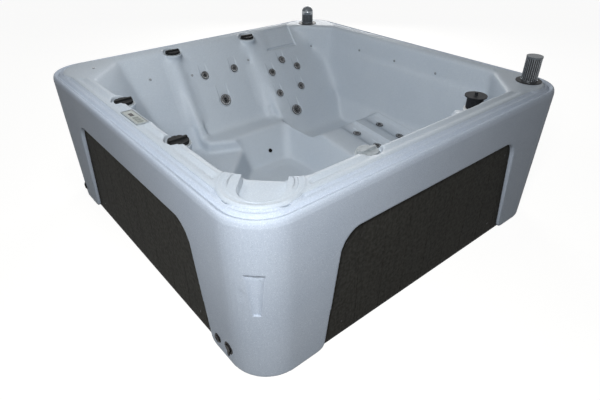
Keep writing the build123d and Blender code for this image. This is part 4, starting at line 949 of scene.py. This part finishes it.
def timberFinish():
    material, tree, shader = newMaterial("frameTimber")
    place = objectPlace(tree)
    grain = noise(tree, stretched(tree, place, timber["stretch"]), *timber["grain"])
    ring = remap(tree, noise(tree, place, *timber["ring"]), *timber["ringSpan"], 0.0, timber["ringMost"])
    tone = toned(tree, grain, toneSpan, *timber["colours"])
    tone = mixColour(tree, ring, tone, timber["ringColour"])
    film = useGroup(tree, dustFilm, Colour=tone, Amount=timber["film"], Roughness=timber["roughness"])
    surface(tree, shader, film["Colour"], film["Roughness"], grain, timber["bump"])
    return material


foil = {"colours": ((0.62, 0.63, 0.63), (0.42, 0.43, 0.44)), "metal": 0.85, "bump": 0.003,
        "crinkleScale": 45.0, "crinkleSpan": (0.1, 0.7), "roughSpan": (0.25, 0.5), "fold": (22.0, 5.0, 0.6)}


def foilFinish():
    # crinkled foil on the insulation sheets
    material, tree, shader = newMaterial("insulationFoil", foil["metal"])
    place = objectPlace(tree)
    crinkle = cells(tree, place, foil["crinkleScale"])
    fold = noise(tree, place, *foil["fold"])
    tone = toned(tree, fold, toneSpan, *foil["colours"])
    rough = remap(tree, crinkle, *foil["crinkleSpan"], *foil["roughSpan"])
    surface(tree, shader, tone, rough, plus(tree, crinkle, fold), foil["bump"])
    return material


filterCloth = {"colours": ((0.66, 0.70, 0.72), (0.80, 0.82, 0.82)), "threadColour": (0.45, 0.50, 0.54),
               "weave": {"Scale": 420.0, "Distortion": 1.5}, "weaveShare": 0.2, "fluff": (380.0, 4.0),
               "roughness": 0.85, "sheen": 0.3, "bump": 0.0003}


def filterFinish():
    # woven polyester on the cartridge's pleats
    material, tree, shader = newMaterial("filterFabric")
    place = objectPlace(tree)
    weave = addNode(tree, "ShaderNodeTexWave", {"Vector": place, **filterCloth["weave"]}).outputs["Fac"]
    fluff = noise(tree, place, *filterCloth["fluff"])
    tone = toned(tree, fluff, toneSpan, *filterCloth["colours"])
    tone = mixColour(tree, times(tree, weave, filterCloth["weaveShare"]), tone, filterCloth["threadColour"])
    shader["Sheen Weight"].default_value = filterCloth["sheen"]
    surface(tree, shader, tone, filterCloth["roughness"], plus(tree, weave, fluff), filterCloth["bump"])
    return material


speakers = {  # material's name, middle, radius from which the bars start, height of the cap's underside
    "speaker_right": ("speakerFlat", (0.940, -0.940, 0.0), 0.0395, 0.9765),
    "speaker_far": ("speakerDome", (0.870, 0.910, 0.0), 0.0395, 0.9400),
}
speakerLook = {
    "gloss": 0.15, "grilleScale": 480.0, "grilleSpan": (0.2, 0.6),
    "black": ((0.070, 0.073, 0.077), (0.045, 0.047, 0.050)),
    "grey": ((0.10, 0.115, 0.13), (0.15, 0.165, 0.18)),
    "silver": ((0.34, 0.36, 0.38), (0.24, 0.26, 0.28)),
    "brushed": {"Scale": 300.0, "Roughness": 0.22},
    "capMetal": 0.3, "chromeMetal": 0.95, "capRougher": 0.15, "bump": 0.00006,
}


def speakerFinish(name, centre, barsFrom, capFrom):
    # chrome bars and flange, black grille inside, grey cap
    material, tree, shader = newMaterial(name, specular=speakerLook["gloss"])
    place = objectPlace(tree)
    moved = addNode(tree, "ShaderNodeVectorMath", {0: place, 1: centre}, operation="SUBTRACT").outputs[0]
    parts = axesOf(tree, moved)
    squares = [mathNode(tree, "POWER", parts[axis], 2.0) for axis in "XY"]
    bars = mathNode(tree, "GREATER_THAN", mathNode(tree, "SQRT", plus(tree, *squares)), barsFrom)
    cap = mathNode(tree, "GREATER_THAN", parts["Z"], capFrom)
    chrome = times(tree, bars, minus(tree, 1.0, cap))
    grille = cells(tree, place, speakerLook["grilleScale"])
    brushed = useGroup(tree, brushedMetal, **speakerLook["brushed"])
    black = toned(tree, grille, speakerLook["grilleSpan"], *speakerLook["black"])
    grey = toned(tree, brushed["Tone"], steelSpan, *speakerLook["grey"])
    silver = toned(tree, brushed["Tone"], steelSpan, *speakerLook["silver"])
    tone = mixColour(tree, cap, mixColour(tree, chrome, black, silver), grey)
    metal = mathNode(tree, "MULTIPLY_ADD", cap, speakerLook["capMetal"],
                     times(tree, chrome, speakerLook["chromeMetal"]))
    feed(tree, shader["Metallic"], metal)
    rough = mathNode(tree, "MULTIPLY_ADD", cap, speakerLook["capRougher"], brushed["Roughness"])
    surface(tree, shader, tone, rough, plus(tree, brushed["Height"], grille), speakerLook["bump"])
    return material


controlFace = {
    "face": ((-0.987, 0.0), (0.0240, 0.0880)),  # middle, half sizes
    "display": ((-0.990, 0.032), (0.010, 0.020)),
    "blur": 0.0004, "keyPitch": 0.0215, "keysTo": -0.004, "keyLine": (0.0011, 0.0005), "lineShare": 0.5,
    "pale": ((0.30, 0.33, 0.32), (0.40, 0.43, 0.42)), "line": (0.12, 0.13, 0.13),
    "black": (0.012, 0.012, 0.013), "grain": {"Scale": 1100.0, "Softness": 0.4},
    "gloss": 0.3, "roughness": 0.36, "displayRoughness": 0.12, "bump": 0.00004,
}


def insideOf(tree, parts, middle, half):
    # 1 inside a flat rectangle, 0 outside it
    gaps = [minus(tree, mathNode(tree, "ABSOLUTE", minus(tree, parts[axis], mid)), reach)
            for axis, mid, reach in zip("XY", middle, half)]
    return remap(tree, mathNode(tree, "MAXIMUM", *gaps), controlFace["blur"], -controlFace["blur"])


def controlFinish():
    # pale face with a small dark display, fine key lines and a black edge
    material, tree, shader = newMaterial("controlFace", specular=controlFace["gloss"])
    parts = axesOf(tree, objectPlace(tree))
    face = insideOf(tree, parts, *controlFace["face"])
    display = insideOf(tree, parts, *controlFace["display"])
    row = mathNode(tree, "PINGPONG", parts["Y"], controlFace["keyPitch"] / 2)
    below = mathNode(tree, "LESS_THAN", parts["Y"], controlFace["keysTo"])
    lines = times(tree, remap(tree, row, *controlFace["keyLine"]), below)
    grain = useGroup(tree, fineGrain, **controlFace["grain"])
    pale = toned(tree, grain["Tone"], toneSpan, *controlFace["pale"])
    pale = mixColour(tree, times(tree, lines, controlFace["lineShare"]), pale, controlFace["line"])
    plate = times(tree, face, minus(tree, 1.0, display))
    tone = mixColour(tree, plate, controlFace["black"], pale)
    rough = remap(tree, display, 0.0, 1.0, controlFace["roughness"], controlFace["displayRoughness"])
    surface(tree, shader, tone, rough, grain["Height"], controlFace["bump"])
    return material


# which node has which finish

plainNodes = {
    "knobGrey": ("air_knob_corner", "air_knob_left", "diverter_lounge", "diverter_rear"),
    "valvePlastic": ("diverter_valves", "air_knob_front", "control_panel_housing"),
    "blackFittings": ("drain_valve", "drain_valve_handle", "cable_gland", "vent_cap", "wall_ports",
                      "speaker_bezels"),
    "skimmerPlastic": ("skimmer_housing", "skimmer_weir"),
    "floatGrey": ("skimmer_float",),
    "basePlastic": ("base_pan",),
    "pumpPlastic": ("pump_wet_end",),
    "motorEnamel": ("pump_motor",),
    "pipePlastic": ("pressure_pipes", "suction_pipe"),
    "boxPlastic": ("control_box", "shell_props"),
    "buttonRubber": ("control_button_1", "control_button_2", "control_button_3"),
    "blackScrews": ("panel_screws",),
    "jetRing": ("jet_housings_large", "jet_housings_small"),
}


def dress(material, *names):
    for name in names:
        mesh = nodes[name].data
        mesh.materials.clear()
        mesh.materials.append(material)


dress(boardFinish("boardsFrontRear", "X"), "panel_front", "panel_rear")
dress(boardFinish("boardsSides", "Y"), "panel_left", "panel_right")
for finishName, nodeNames in plainNodes.items():
    dress(plainFinish(finishName), *nodeNames)
dress(steelFinish("rotorSteel"), "pump_rotor")
dress(steelFinish("heaterSteel"), "heater")
for jetName in jetNames:
    dress(jetFaceFinish(jetName), jetName)
dress(lensFinish(), "light_points")
dress(timberFinish(), "frame")
dress(foilFinish(), "panel_insulation")
dress(filterFinish(), "filter_cartridge")
for speakerName, speakerValues in speakers.items():
    dress(speakerFinish(*speakerValues), speakerName)
dress(controlFinish(), "control_faceplate")
print("nodes dressed")
